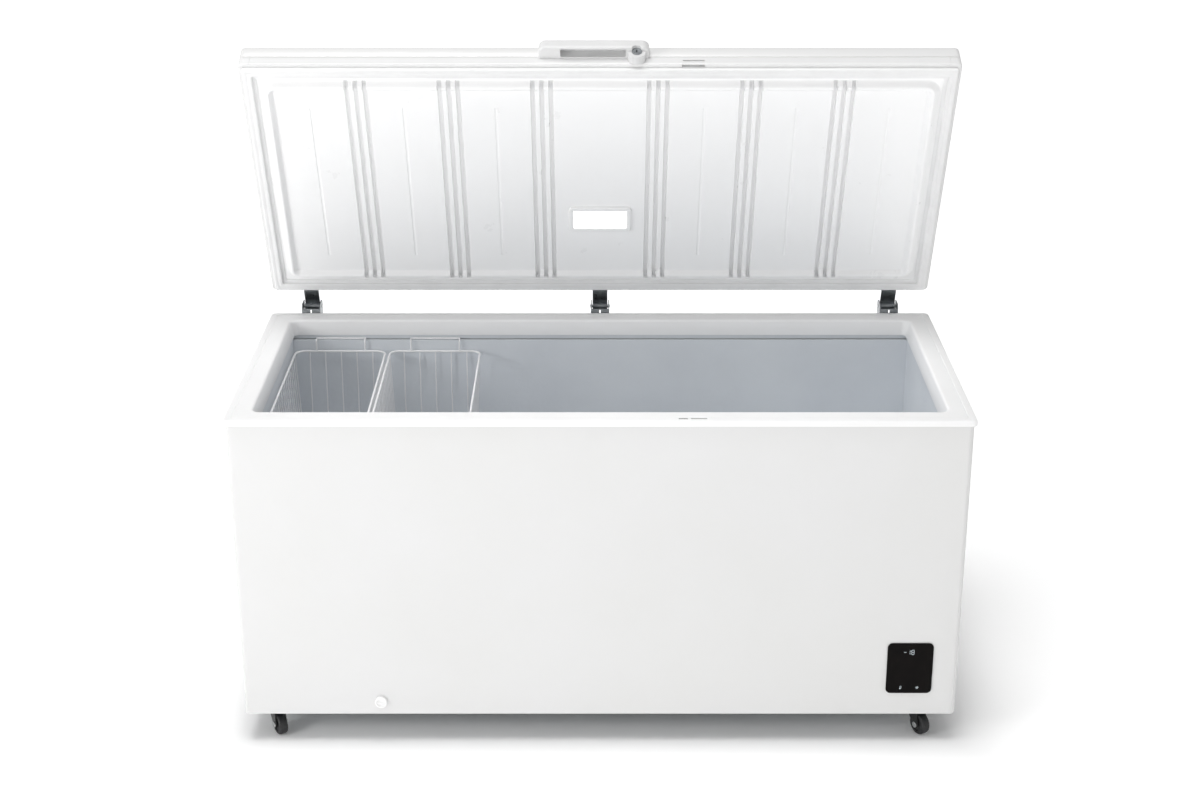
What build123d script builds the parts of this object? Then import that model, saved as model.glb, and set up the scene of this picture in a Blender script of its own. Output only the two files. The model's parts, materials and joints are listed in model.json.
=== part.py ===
from build123d import *
import math
import os

# A chest freezer of the 500 litre class, standing on four casters with its lid open.
# Millimetres, +Z up, +X along the length, front towards -Y, floor at z = 0.
# Every function works in cabinet coordinates, where y counts back from the front
# face of the collar. The whole set is moved by front_y when it is written.

# ---- collar and cabinet
collar_width = 1604.0
collar_depth = 700.0
collar_top = 784.0
collar_lip = 13.0  # drop of the collar's outer lip over the skin
collar_plate = 4.0  # thickness of the collar's top and skirt
lip_wall = 3.0
front_y = -387.0  # front face of the collar from the middle of the open freezer's footprint
rim_width = 54.0  # flat rim around the opening
skirt_depth = 35.0
skirt_inset = 10.0  # how far the skirt leans in over its depth
opening_radius = 22.0
groove_inset = 18.0  # fine groove that runs round the rim
groove_width = 2.0
overhang = 5.0  # collar past the skin on every side
cabinet_bottom = 72.0
skin = 1.0  # thickness of every outer sheet
skin_top = collar_top - collar_lip + 1.0
corner_radius = 12.0
tray_rim = 20.0  # upturned edge of the base pan

# ---- liner and machine bay
liner_sheet = 1.5
liner_half_width = 742.0
liner_floor = 140.0
ledge_drop = 45.0  # basket ledge below the collar's top
ledge_width = 10.0
step_from_x = 414.0  # the liner steps up over the machine bay from here
step_height = 240.0
bay_from_x = 474.0
bay_top = 312.0
bay_front = 46.0

# ---- lid, closed: s counts from its rear edge forwards, t upwards from its inner plane
lid_half_width = 800.0
lid_length = 680.0
lid_thickness = 64.0
lid_edge_radius = 6.0
lid_rear_y = 688.0
lid_gap = 10.0  # inner plane above the collar's top
lid_open_angle = 65.6
hinge_y = 735.5
hinge_rise = 5.0  # hinge axis above the collar's top
border_height = 28.0
border_strip = 9.0
lid_corner = 26.0  # length of each corner piece
seal_inset = 38.0  # inner edge of the gasket from the lid's edge
ring_height = 14.0  # the raised ring stands this far into the opening
ring_base = 44.0
ring_outer = 56.0
ring_inner = 62.0
field_edge = 70.0
field_height = 3.0
field_radius = 14.0
ring_radius = 32.0  # outer corner of the ring, at its base
groove_centres = (-544.0, -337.0, -130.0, 130.0, 337.0, 544.0)
groove_pitch = 20.3
wide_groove = 9.0
wide_groove_floor = -6.0
fine_groove_centres = (-649.0, -441.0, -234.0, 234.0, 441.0, 649.0)
fine_groove = 5.0
fine_groove_depth = 1.0

# ---- lamp, handle, lock
lamp_s = 235.0
lamp_width = 147.0
lamp_height = 75.0
handle_left = -136.0
handle_right = 109.0
handle_reach = 30.0
handle_low = 20.0
handle_high = 50.0
lock_x = 81.0
lock_t = 17.0
lock_radius = 18.0
hook_x = 188.0
hook_t = 17.0
hook_reach = 38.0
hook_barb = 12.0
hook_y = 12.6
hook_plate = 2.4
keeper_slot = (193.0, 228.0)
switch_slot = (167.0, 187.0)
slot_y = (11.4, 16.6)

# ---- hinges
hinge_centres = (-706.0, 0.0, 706.0)
hinge_half_width = 22.5
leaf_half_width = 18.0
pin_radius = 4.0
pin_clearance = 0.05
knuckle_radius = 8.0
hinge_base_drop = 145.0

# ---- casters
caster_x = 717.0
caster_inset = 62.0
caster_turn = 30.0  # swivel angle at rest
wheel_radius = 25.0
wheel_width = 20.0
wheel_trail = 20.0
axle_radius = 4.0
fork_gap = 1.0
fork_sheet = 2.5
king_radius = 5.0

# ---- baskets
basket_width = 217.0
basket_left = -734.5
basket_pitch = 228.0
basket_drop = 70.0  # rim below the collar's top
basket_depth = 210.0
basket_front = 82.0
basket_back = 618.0
basket_corner = 22.0
rim_wire = 2.5
thin_wire = 1.5
hanger_inset = 50.0

# ---- front fittings
panel_left = 638.0
panel_width = 102.0
panel_bottom = 126.0
panel_height = 125.0
drain_x = -490.0
drain_z = 104.0
drain_y = 104.0
tube_radius = 8.0
tube_bore = 6.0
spigot_radius = 5.92

# ---- machine bay, rear and side
grille_front, grille_back = 330.0, 620.0
grille_low, grille_high = 110.0, 280.0
cover_left = 500.0
cover_right = 780.0
cover_low = 96.0
cover_high = 300.0
gland_x = 520.0
gland_z = 106.0
gland_radius = 9.0
compressor_x = 632.0
compressor_y = 470.0
plate_top = 84.0
evaporator_levels = (300.0, 400.0, 500.0, 600.0, 690.0)
coil_side = 8.0  # the evaporator tube is made square

half_width = collar_width / 2
skin_half = half_width - overhang
inner_half = skin_half - skin
skin_front = overhang
skin_back = collar_depth - overhang
lid_plane = collar_top + lid_gap
hinge_z = collar_top + hinge_rise
mid_y = collar_depth / 2
slack = 0.3  # air between bodies that move past each other
rim_z = collar_top - basket_drop
ledge_z = collar_top - ledge_drop
liner_top = collar_top - skirt_depth
bay_to_x = inner_half
ledge_front = rim_width + skirt_inset - 2
ledge_back = collar_depth - ledge_front
wall_front = ledge_front + ledge_width
wall_back = collar_depth - wall_front
step_top = liner_floor + step_height
caster_plate = 2.5
king_head_top = 60.4
fork_top = cabinet_bottom - caster_plate - slack
fork_plate_low = king_head_top + slack


def block(x_low, x_high, y_low, y_high, z_low, z_high):
    size = Box(x_high - x_low, y_high - y_low, z_high - z_low)
    return Pos((x_low + x_high) / 2, (y_low + y_high) / 2, (z_low + z_high) / 2) * size


def rod(start, end, radius):
    path = Vector(*end) - Vector(*start)
    middle = (Vector(*start) + Vector(*end)) * 0.5
    return Plane(origin=middle, z_dir=path) * Cylinder(radius, path.length)


def joined(shapes):
    first, *others = shapes
    return first.fuse(*others) if others else first


def lid_block(x_low, x_high, s_low, s_high, t_low, t_high):
    return block(
        x_low, x_high, lid_rear_y - s_high, lid_rear_y - s_low, lid_plane + t_low, lid_plane + t_high
    )


def lid_inset(inset, t_low, t_high):
    reach = lid_half_width - inset
    return lid_block(-reach, reach, inset, lid_length - inset, t_low, t_high)


def lid_ring(outer, inner, t_low, t_high):
    return lid_inset(outer, t_low, t_high) - lid_inset(inner, t_low - 1, t_high + 1)


def tapered(inset_base, inset_end, z_start, height, radius, downwards=True):
    # a rounded rectangle that shrinks evenly from the first inset to the second
    width = 2 * (lid_half_width - inset_base)
    depth = lid_length - 2 * inset_base
    centre_y = lid_rear_y - lid_length / 2
    lean = math.degrees(math.atan2(inset_end - inset_base, height))
    face = Pos(0, centre_y, z_start) * RectangleRounded(width, depth, radius)
    way = (0, 0, -1) if downwards else (0, 0, 1)
    return extrude(face, amount=height, dir=way, taper=lean)


def opened(shape):
    # turns a closed lid piece up about the hinge axis to the stored pose
    hinge = Pos(0, hinge_y, hinge_z)
    return hinge * Rot(-lid_open_angle, 0, 0) * hinge.inverse() * shape


def outer_wrap():
    outer = block(-skin_half, skin_half, skin_front, skin_back, cabinet_bottom, skin_top)
    upright = outer.edges().filter_by(Axis.Z).group_by(Axis.Y)[0]
    outer = fillet(upright, corner_radius)
    inner = block(-inner_half, inner_half, skin_front + skin, skin_back + 1, cabinet_bottom - 1, skin_top + 1)
    near = inner.edges().filter_by(Axis.Z).group_by(Axis.Y)[0]
    wrap = outer - fillet(near, corner_radius - skin)
    window_inset = 3.0
    wrap -= block(
        panel_left + window_inset,
        panel_left + panel_width - window_inset,
        skin_front - 1,
        skin_front + skin + 1,
        panel_bottom + window_inset,
        panel_bottom + panel_height - window_inset,
    )
    wrap -= rod((drain_x, 0, drain_z), (drain_x, skin_front + 4, drain_z), tube_radius)
    return wrap - grille_opening(skin_half - 4, skin_half + 4, 0)


def grille_opening(x_low, x_high, grow):
    return block(
        x_low, x_high, grille_front - grow, grille_back + grow, grille_low - grow, grille_high + grow
    )


def vent_grille():
    flange = 8.0
    slat_pitch = 14.0
    slat_height = 8.0
    face = grille_opening(skin_half, skin_half + 2.0, flange)
    frame = face + grille_opening(skin_half - 8.0, skin_half, -0.2)
    count = int((grille_high - grille_low) // slat_pitch) - 1
    for index in range(count):
        low = grille_low + slat_pitch * (index + 1)
        frame -= block(
            skin_half - 9, skin_half + 3, grille_front + 10, grille_back - 10, low, low + slat_height
        )
    return frame


def rear_panel():
    panel = block(-inner_half, inner_half, skin_back - skin, skin_back, cabinet_bottom, skin_top)
    return panel - block(cover_left, cover_right, skin_back - 3, skin_back + 3, cover_low, cover_high)


def machine_cover():
    lap = 10.0
    slot_pitch = 16.0
    slot_height = 6.0
    y_low, y_high = skin_back, skin_back + 1.2
    cover = block(cover_left - lap, cover_right + lap, y_low, y_high, cover_low - lap, cover_high + lap)
    for index in range(10):
        low = cover_low + 20 + slot_pitch * index
        cover -= block(cover_left + 20, cover_right - 20, y_low - 1, y_high + 1, low, low + slot_height)
    return cover - rod((gland_x, y_low - 1, gland_z), (gland_x, y_high + 1, gland_z), gland_radius)


def cord_gland():
    # the mains inlet: a rubber bush in the machine cover
    flange = rod((gland_x, skin_back + 1.2, gland_z), (gland_x, skin_back + 6, gland_z), gland_radius + 4)
    neck = rod((gland_x, skin_back - 4, gland_z), (gland_x, skin_back + 1.2, gland_z), gland_radius)
    return flange + neck - rod((gland_x, skin_back - 2, gland_z), (gland_x, skin_back + 7, gland_z), 4)


def base_pan():
    y_low, y_high = skin_front + skin, skin_back - skin
    pan = block(-inner_half, inner_half, y_low, y_high, cabinet_bottom, cabinet_bottom + tray_rim)
    upright = pan.edges().filter_by(Axis.Z).group_by(Axis.Y)[0]
    pan = fillet(upright, corner_radius - skin)
    pan -= block(
        -inner_half + skin,
        inner_half - skin,
        y_low + skin,
        y_high - skin,
        cabinet_bottom + skin,
        cabinet_bottom + 30,
    )
    vent_pitch = 24.0
    for index in range(8):
        low = 300.0 + vent_pitch * index
        pan -= block(bay_from_x + 50, bay_from_x + 110, low, low + 8, cabinet_bottom - 1, cabinet_bottom + 5)
    return pan


def liner_space(grow, top):
    # the room inside the liner, grown by its sheet for the outside
    reach = liner_half_width + grow
    upper = block(-reach, reach, ledge_front - grow, ledge_back + grow, ledge_z - grow, top)
    lower = block(-reach, reach, wall_front - grow, wall_back + grow, liner_floor - grow, ledge_z)
    low = liner_floor - grow - 1
    step = block(step_from_x + grow, reach + 1, ledge_front, ledge_back, low, step_top - grow)
    return upper + (lower - step)


def liner_floors():
    sheet, step_x = liner_sheet, step_from_x
    floor = block(-liner_half_width, step_x, wall_front, wall_back, liner_floor - sheet, liner_floor)
    floor -= rod((drain_x, drain_y, liner_floor - 5), (drain_x, drain_y, liner_floor + 1), tube_bore)
    riser = block(step_x, step_x + sheet, wall_front, wall_back, liner_floor - sheet, step_top - sheet)
    return [floor, riser, block(step_x, liner_half_width, wall_front, wall_back, step_top - sheet, step_top)]


def liner_ends():
    ends = []
    sheet, under_ledge = liner_sheet, ledge_z - liner_sheet
    for x, low in ((-liner_half_width - sheet, liner_floor - sheet), (liner_half_width, step_top - sheet)):
        ends.append(block(x, x + sheet, wall_front - sheet, wall_back + sheet, low, under_ledge))
        ends.append(block(x, x + sheet, ledge_front - sheet, ledge_back + sheet, under_ledge, liner_top))
    return ends


def liner_long_walls():
    # the lower wall, the ledge that the baskets hang from, and the short wall above it
    walls = []
    sheet, reach, under_ledge = liner_sheet, liner_half_width, ledge_z - liner_sheet
    for outer, ledge, wall in ((-1, ledge_front, wall_front), (1, ledge_back, wall_back)):
        low_y, high_y = sorted((wall, wall + outer * sheet))
        walls.append(block(-reach, step_from_x, low_y, high_y, liner_floor - sheet, under_ledge))
        walls.append(block(step_from_x, reach, low_y, high_y, step_top - sheet, under_ledge))
        low_y, high_y = sorted((wall, ledge + outer * sheet))
        walls.append(block(-reach, reach, low_y, high_y, under_ledge, ledge_z))
        low_y, high_y = sorted((ledge, ledge + outer * sheet))
        walls.append(block(-reach, reach, low_y, high_y, ledge_z, liner_top))
    return walls


def inner_liner():
    # flat sheets that butt at the folds
    return Compound(
        children=[sheet.solids()[0] for sheet in liner_floors() + liner_ends() + liner_long_walls()]
    )


def bay_space(grow):
    return block(
        bay_from_x - grow,
        bay_to_x + 1,
        bay_front - grow,
        skin_back + 1,
        cabinet_bottom + skin - 1,
        bay_top + grow,
    )


def bay_partition():
    sheet = block(
        bay_from_x - 1, bay_to_x, bay_front - 1, skin_back - skin, cabinet_bottom + skin, bay_top + 1
    )
    sheet -= block(bay_from_x, bay_to_x + 1, bay_front, skin_back, cabinet_bottom, bay_top)
    sheet -= block(
        bay_from_x - 2, bay_to_x + 1, bay_front - 2, skin_back, cabinet_bottom, cabinet_bottom + tray_rim
    )
    window = block(
        panel_left - 6, panel_left + panel_width + 6, bay_front - 3, bay_front + 2, panel_bottom - 6, 260.0
    )
    return sheet - window


def cabinet_foam():
    foam = block(
        -inner_half, inner_half, skin_front + skin, skin_back - skin, cabinet_bottom + skin, collar_top - 12
    )
    upright = foam.edges().filter_by(Axis.Z).group_by(Axis.Y)[0]
    foam = fillet(upright, corner_radius - skin)
    foam -= liner_space(liner_sheet, collar_top)
    foam -= bay_space(1)
    rim = block(
        -inner_half,
        inner_half,
        skin_front + skin,
        skin_back - skin,
        cabinet_bottom,
        cabinet_bottom + tray_rim,
    )
    keep = block(
        -inner_half + skin,
        inner_half - skin,
        skin_front + 2 * skin,
        skin_back - 2 * skin,
        cabinet_bottom,
        cabinet_bottom + tray_rim,
    )
    foam -= rim - keep
    skirt_edge = rim_width - collar_plate
    skirt_reach = half_width - skirt_edge
    foam -= block(-skirt_reach, skirt_reach, skirt_edge, collar_depth - skirt_edge, liner_top, collar_top)
    foam -= block(switch_slot[0] - 4, keeper_slot[1] + 4, 0, slot_y[1] + 3, collar_top - 32, collar_top)
    foam -= control_room(0)
    foam -= drain_path(tube_radius)
    for ring in evaporator_rings():
        foam -= ring
    return foam - condenser_coil()


def opening_cut():
    width = collar_width - 2 * rim_width
    depth = collar_depth - 2 * rim_width
    lean = math.degrees(math.atan2(skirt_inset, skirt_depth))
    face = Pos(0, mid_y, collar_top) * RectangleRounded(width, depth, opening_radius)
    return extrude(face, amount=skirt_depth, dir=(0, 0, -1), taper=lean)


def collar_frame():
    slab = block(-half_width, half_width, 0, collar_depth, collar_top - collar_lip, collar_top)
    slab = fillet(slab.edges().filter_by(Axis.Z), corner_radius)
    slab = fillet(slab.edges().group_by(Axis.Z)[-1], 4)
    hollow = block(
        -half_width + lip_wall,
        half_width - lip_wall,
        lip_wall,
        collar_depth - lip_wall,
        0,
        collar_top - collar_plate,
    )
    slab -= fillet(hollow.edges().filter_by(Axis.Z), 5)
    width = collar_width - 2 * rim_width + 2 * collar_plate
    depth = collar_depth - 2 * rim_width + 2 * collar_plate
    lean = math.degrees(math.atan2(skirt_inset, skirt_depth))
    face = Pos(0, mid_y, collar_top) * RectangleRounded(width, depth, opening_radius + collar_plate)
    skirt = extrude(face, amount=skirt_depth, dir=(0, 0, -1), taper=lean)
    frame = slab + skirt - opening_cut()
    inner_edges = [
        edge
        for edge in frame.edges().group_by(Axis.Z)[-1]
        if abs(edge.center().X) < half_width - rim_width / 2
        and rim_width / 2 < edge.center().Y < collar_depth - rim_width / 2
    ]
    frame = fillet(inner_edges, 7)
    ring_out = groove_inset - groove_width / 2
    ring_in = groove_inset + groove_width / 2
    groove = block(
        -half_width + ring_out,
        half_width - ring_out,
        ring_out,
        collar_depth - ring_out,
        collar_top - 1,
        collar_top + 1,
    ) - block(
        -half_width + ring_in,
        half_width - ring_in,
        ring_in,
        collar_depth - ring_in,
        collar_top - 2,
        collar_top + 2,
    )
    frame -= groove
    for low, high in (keeper_slot, switch_slot):
        frame -= block(low, high, slot_y[0], slot_y[1], collar_top - 10, collar_top + 1)
    return Compound(children=[(frame & zone).solids()[0] for zone in mitre_zones()])


def mitre_zones():
    # four prisms that meet along the 45 degree lines from the collar's corners
    x, far_y = half_width + 1, collar_depth + 1
    inner_x = x - (mid_y + 1)
    outlines = [
        [(-x, -1), (x, -1), (inner_x, mid_y), (-inner_x, mid_y)],
        [(-x, far_y), (-inner_x, mid_y), (inner_x, mid_y), (x, far_y)],
        [(-x, -1), (-inner_x, mid_y), (-x, far_y)],
        [(x, -1), (x, far_y), (inner_x, mid_y)],
    ]
    return [
        Pos(0, 0, liner_top - 10) * extrude(make_face(Polyline(*outline, close=True)), amount=60)
        for outline in outlines
    ]


def latch_keeper():
    # a moulded cup under the collar that takes the lock's hook
    low, high = keeper_slot
    top = collar_top - collar_plate
    hollow_low = low - 4.5
    cup = block(hollow_low - 1.3, high + 2, slot_y[0] - 2, slot_y[1] + 2, top - 22, top)
    return cup - block(hollow_low, high, slot_y[0], slot_y[1], top - 20, top + 1)


def lid_sensor():
    # reed contact cast into a cup beside the keeper
    low, high = switch_slot
    body = block(low + 0.5, high - 0.5, slot_y[0] + 0.4, slot_y[1] - 0.4, collar_top - 16, collar_top - 1.2)
    return body


def control_room(shrink):
    return block(
        panel_left + 3 + shrink,
        panel_left + panel_width - 3 - shrink,
        skin_front + skin,
        bay_front + 2 - shrink,
        panel_bottom + 3 + shrink,
        panel_bottom + panel_height - 3 - shrink,
    )


def control_housing():
    shell = control_room(0)
    inner = block(
        panel_left + 5,
        panel_left + panel_width - 5,
        skin_front,
        bay_front - 2,
        panel_bottom + 5,
        panel_bottom + panel_height - 5,
    )
    return shell - inner


def control_glass():
    glass = block(
        panel_left,
        panel_left + panel_width,
        skin_front - 2.5,
        skin_front,
        panel_bottom,
        panel_bottom + panel_height,
    )
    return fillet(glass.edges().filter_by(Axis.Y), 11)


def control_board():
    return block(
        panel_left + 9,
        panel_left + panel_width - 9,
        skin_front + 6,
        skin_front + 7.6,
        panel_bottom + 9,
        panel_bottom + panel_height - 9,
    )


def drain_path(radius):
    down = rod((drain_x, drain_y, drain_z), (drain_x, drain_y, liner_floor - liner_sheet), radius)
    out = rod((drain_x, skin_front, drain_z), (drain_x, drain_y, drain_z), radius)
    bend = Pos(drain_x, drain_y, drain_z) * Sphere(radius)
    return down + out + bend


def drain_tube():
    return drain_path(tube_radius) - drain_path(tube_bore) - drain_mouth()


def drain_mouth():
    front = rod((drain_x, skin_front - 2, drain_z), (drain_x, skin_front + 2, drain_z), tube_bore)
    top = rod((drain_x, drain_y, liner_floor - 3), (drain_x, drain_y, liner_floor + 2), tube_bore)
    return front + top


def drain_cap():
    face = rod((drain_x, -4.0, drain_z), (drain_x, skin_front - slack, drain_z), 13.5)
    face = fillet(face.edges().group_by(Axis.Y)[0], 2.5)
    stem = rod((drain_x, 0, drain_z), (drain_x, skin_front + 14, drain_z), spigot_radius)
    return face + stem


def inner_drain_plug():
    head = rod((drain_x, drain_y, liner_floor + slack), (drain_x, drain_y, liner_floor + 6), 14)
    stem = rod((drain_x, drain_y, liner_floor - 14), (drain_x, drain_y, liner_floor + 1), spigot_radius)
    return head + stem


def evaporator_rings():
    # each turn lies flat against the liner, joined to the next by a short riser
    reach = liner_half_width + liner_sheet
    front = rim_width + skirt_inset - 2 + ledge_width - liner_sheet
    back = collar_depth - front
    rings = []
    for level in evaporator_levels:
        right = step_from_x + liner_sheet if level < liner_floor + step_height else reach
        outer = block(
            -reach - coil_side,
            right + coil_side,
            front - coil_side,
            back + coil_side,
            level,
            level + coil_side,
        )
        rings.append(outer - block(-reach, right, front, back, level - 1, level + coil_side + 1))
    for low, high in zip(evaporator_levels, evaporator_levels[1:]):
        rings.append(
            block(-reach - coil_side, -reach, mid_y, mid_y + coil_side, low + coil_side, high)
        )
    return rings


def evaporator_coil():
    return joined(evaporator_rings())


def condenser_coil():
    # the hot gas tube is fixed to the inside of the rear panel in long passes
    y_low, y_high = skin_back - skin - 6, skin_back - skin
    left, right = -700.0, 430.0
    levels = [150.0 + 70.0 * index for index in range(8)]
    coil = [block(left, right, y_low, y_high, level, level + 6) for level in levels]
    for index, (low, high) in enumerate(zip(levels, levels[1:])):
        x = right - 6 if index % 2 == 0 else left
        coil.append(block(x, x + 6, y_low, y_high, low, high + 6))
    return joined(coil)


def compressor_plate():
    plate = block(bay_from_x + 4, bay_to_x - 6, 360, 600, plate_top - 2, plate_top)
    legs = [
        block(x, x + 2, 360, 600, cabinet_bottom + skin, plate_top - 1)
        for x in (bay_from_x + 4, bay_to_x - 8)
    ]
    plate = joined([plate] + legs)
    for x, y in grommet_places():
        plate -= rod((x, y, plate_top - 4), (x, y, plate_top + 1), 4)
    return plate


def grommet_places():
    return [(compressor_x + dx, compressor_y + dy) for dx in (-85, 85) for dy in (-60, 60)]


def compressor_mounts():
    bushes = [rod((x, y, plate_top), (x, y, plate_top + 14), 11) for x, y in grommet_places()]
    return Compound(children=[bush.solids()[0] for bush in bushes])


def compressor():
    foot_z = plate_top + 14
    foot = block(
        compressor_x - 98, compressor_x + 98, compressor_y - 72, compressor_y + 72, foot_z, foot_z + 3
    )
    foot = fillet(foot.edges().filter_by(Axis.Z), 14)
    shell = Pos(compressor_x, compressor_y, foot_z + 75) * Cylinder(78, 144)
    shell = fillet(shell.edges(), 30)
    seam = Pos(compressor_x, compressor_y, foot_z + 62) * Cylinder(81, 6)
    return foot + shell + seam


def start_relay():
    y_low = compressor_y - 112
    return block(
        compressor_x - 30, compressor_x + 30, y_low, compressor_y - 82, plate_top + 40, plate_top + 110
    )


def filter_drier():
    body = rod((510, 200, 150), (510, 300, 150), 10)
    ends = [rod((510, 185, 150), (510, 200, 150), 4), rod((510, 300, 150), (510, 315, 150), 4)]
    return joined([body] + ends)


def pipe_run(points, radius):
    pieces = [rod(a, b, radius) for a, b in zip(points, points[1:])]
    elbows = [Pos(*point) * Sphere(radius) for point in points[1:-1]]
    return joined(pieces + elbows)


def refrigerant_pipes():
    hot = pipe_run(
        [
            (compressor_x - 79, compressor_y, 200),
            (510, compressor_y, 200),
            (510, compressor_y, 150),
            (510, 316, 150),
        ],
        3,
    )
    cold = pipe_run(
        [
            (compressor_x + 60, compressor_y, 245),
            (compressor_x + 60, compressor_y, 290),
            (500, compressor_y, 290),
        ],
        4,
    )
    return Compound(children=[hot.solids()[0], cold.solids()[0]])


def temperature_sensor():
    x, z = step_from_x + 40, liner_floor + step_height + 140
    y_wall = rim_width + skirt_inset - 2 + ledge_width
    return rod((x, y_wall, z), (x, y_wall + 10, z), 6)


def hinge_base(x):
    top = collar_top + 9
    low = collar_top - hinge_base_drop
    front, back = collar_depth + 2, 750.0
    inner = hinge_half_width - 2.2
    channel = block(x - hinge_half_width, x + hinge_half_width, front, back, low, collar_top + 20)
    top_edges = channel.edges().filter_by(Axis.X).group_by(Axis.Z)[-1]
    channel = fillet(top_edges, 12)
    channel -= block(x - inner, x + inner, front + 2, back - 2, low + 2, collar_top + 30)
    channel -= block(x - inner, x + inner, front - 1, front + 3, top, collar_top + 30)
    channel -= block(x - inner, x + inner, back - 3, back + 1, collar_top - 30, collar_top + 30)
    channel -= block(x - 1.8, x + 1.8, front - 1, front + 3, collar_top - 2, collar_top + 6.5)
    channel += block(
        x - hinge_half_width, x + hinge_half_width, skin_back, front, low, collar_top - collar_lip - 1
    )
    return channel - rod((x - 30, hinge_y, hinge_z), (x + 30, hinge_y, hinge_z), pin_radius)


def hinge_bases():
    return Compound(children=[hinge_base(x).solids()[0] for x in hinge_centres])


def hinge_pins():
    reach = hinge_half_width + 1.5
    pins = [
        rod((x - reach, hinge_y, hinge_z), (x + reach, hinge_y, hinge_z), pin_radius) for x in hinge_centres
    ]
    return Compound(children=[pin.solids()[0] for pin in pins])


def hinge_springs():
    springs = []
    low, high = collar_top - hinge_base_drop + 2, collar_top - 22
    for x in hinge_centres:
        coil = rod((x, 727, low), (x, 727, high), 12) - rod((x, 727, low - 1), (x, 727, high + 1), 8.5)
        springs.append(coil.solids()[0])
    return Compound(children=springs)


def hinge_leaf(x):
    plate = block(
        x - leaf_half_width,
        x + leaf_half_width,
        lid_rear_y,
        lid_rear_y + 2.5,
        collar_top + 12,
        collar_top + 60,
    )
    arm = block(x - leaf_half_width, x + leaf_half_width, lid_rear_y, hinge_y, hinge_z + 5, hinge_z + 8)
    knuckle = rod(
        (x - leaf_half_width, hinge_y, hinge_z), (x + leaf_half_width, hinge_y, hinge_z), knuckle_radius
    )
    bore = rod((x - 30, hinge_y, hinge_z), (x + 30, hinge_y, hinge_z), pin_radius + pin_clearance)
    return plate + arm + knuckle - bore


def hinge_leaves():
    return opened(Compound(children=[hinge_leaf(x).solids()[0] for x in hinge_centres]))


def hinge_screws():
    heads = []
    for x in hinge_centres:
        for z in (collar_top + 28, collar_top + 50):
            head = rod((x, lid_rear_y + 2.5, z), (x, lid_rear_y + 5, z), 4)
            heads.append(head.solids()[0])
    return opened(Compound(children=heads))


def lid_shell(inset, t_low):
    shell = lid_inset(inset, t_low, lid_thickness - inset)
    shell = fillet(shell.edges().filter_by(Axis.Z), corner_radius - inset)
    return fillet(shell.edges().group_by(Axis.Z)[-1], lid_edge_radius - inset)


def lid_skin():
    return opened(lid_shell(0, border_height) - lid_shell(skin, border_height - 1))


def lid_border():
    # the plastic rails and corner pieces that frame the lid's edge
    outer = lid_inset(0, 0, border_height)
    outer = fillet(outer.edges().filter_by(Axis.Z), corner_radius)
    outer = fillet(outer.edges().group_by(Axis.Z)[0], 4)
    border = outer - lid_inset(border_strip, -1, border_height + 1)
    front = lid_length
    border -= lid_block(hook_x - 7, keeper_slot[1] + 4, front - 20, front - 2.4, -1, 25)
    return border - lid_block(hook_x - 5, keeper_slot[1] + 4, front - 4, front + 4, 10.5, 14.5)


def corner_zones():
    reach = lid_half_width
    zones = []
    for x in (-reach, reach - lid_corner):
        for s in (0, lid_length - lid_corner):
            zones.append(
                lid_block(x - 1, x + lid_corner + 1, s - 1, s + lid_corner + 1, -2, border_height + 2)
            )
    return zones


def lid_rails():
    rails = lid_border()
    for zone in corner_zones():
        rails -= zone
    return opened(Compound(children=list(rails.solids())))


def lid_corners():
    border = lid_border()
    corners = [(border & zone).solids()[0] for zone in corner_zones()]
    return opened(Compound(children=corners))


def groove_lines():
    lines = []
    for centre in groove_centres:
        for step in (-1, 0, 1):
            lines.append(centre + step * groove_pitch)
    return lines


def lamp_room(grow):
    half = lamp_width / 2 - 8 + grow
    tall = lamp_height / 2 - 8 + grow
    return lid_block(-half, half, lamp_s - tall, lamp_s + tall, -12 - ring_height, 20 + grow)


def lid_panel_solid():
    # t runs up when the lid is closed, so what stands into the opening has negative t
    plate = lid_inset(border_strip, 0, 2.5)
    ring = tapered(ring_base, ring_outer, lid_plane, ring_height, ring_radius)
    recess_wall = (field_edge - ring_inner) / (ring_height - field_height)
    well = tapered_well(recess_wall)
    backs = [
        lid_block(x - 6.5, x + 6.5, ring_base - 2, lid_length - ring_base + 2, 0, -wide_groove_floor + 2)
        for x in groove_lines()
    ]
    return joined([plate, ring] + backs) - well


def tapered_well(lean_ratio):
    # the field is sunk between the ring's inner walls
    depth = ring_height - field_height
    return tapered(
        ring_inner, ring_inner + depth * lean_ratio, lid_plane - ring_height, depth, field_radius, False
    )


def lid_liner():
    panel = lid_panel_solid()
    for x in groove_lines():
        panel -= lid_block(
            x - wide_groove / 2,
            x + wide_groove / 2,
            ring_base,
            lid_length - ring_base,
            -ring_height - 1,
            -wide_groove_floor,
        )
    for x in fine_groove_centres:
        panel -= lid_block(
            x - fine_groove / 2,
            x + fine_groove / 2,
            120,
            lid_length - 120,
            -field_height - 1,
            fine_groove_depth - field_height,
        )
    return opened(panel - lamp_room(0))


def lid_foam():
    foam = lid_inset(border_strip, 2.5, border_height)
    foam += lid_shell(skin, border_height)
    for x in groove_lines():
        foam -= lid_block(
            x - 6.5, x + 6.5, ring_base - 2, lid_length - ring_base + 2, 0, -wide_groove_floor + 2
        )
    foam -= lock_room()
    return opened(foam - lamp_room(2))


def lock_room():
    hook = lid_block(hook_x - 8, keeper_slot[1] + 6, 655, 680, 0, 30)
    link = lid_block(lock_x - 20, hook_x, 655, 680, 8, 34)
    return hook + link


def lid_gasket():
    bulb = lid_ring(border_strip, 30, -lid_gap + slack, 0)
    bulb -= lid_ring(border_strip + 3, 27, -lid_gap + 3.5, -2.5)
    return opened(bulb + lid_ring(30, seal_inset, -3, 0))


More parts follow.
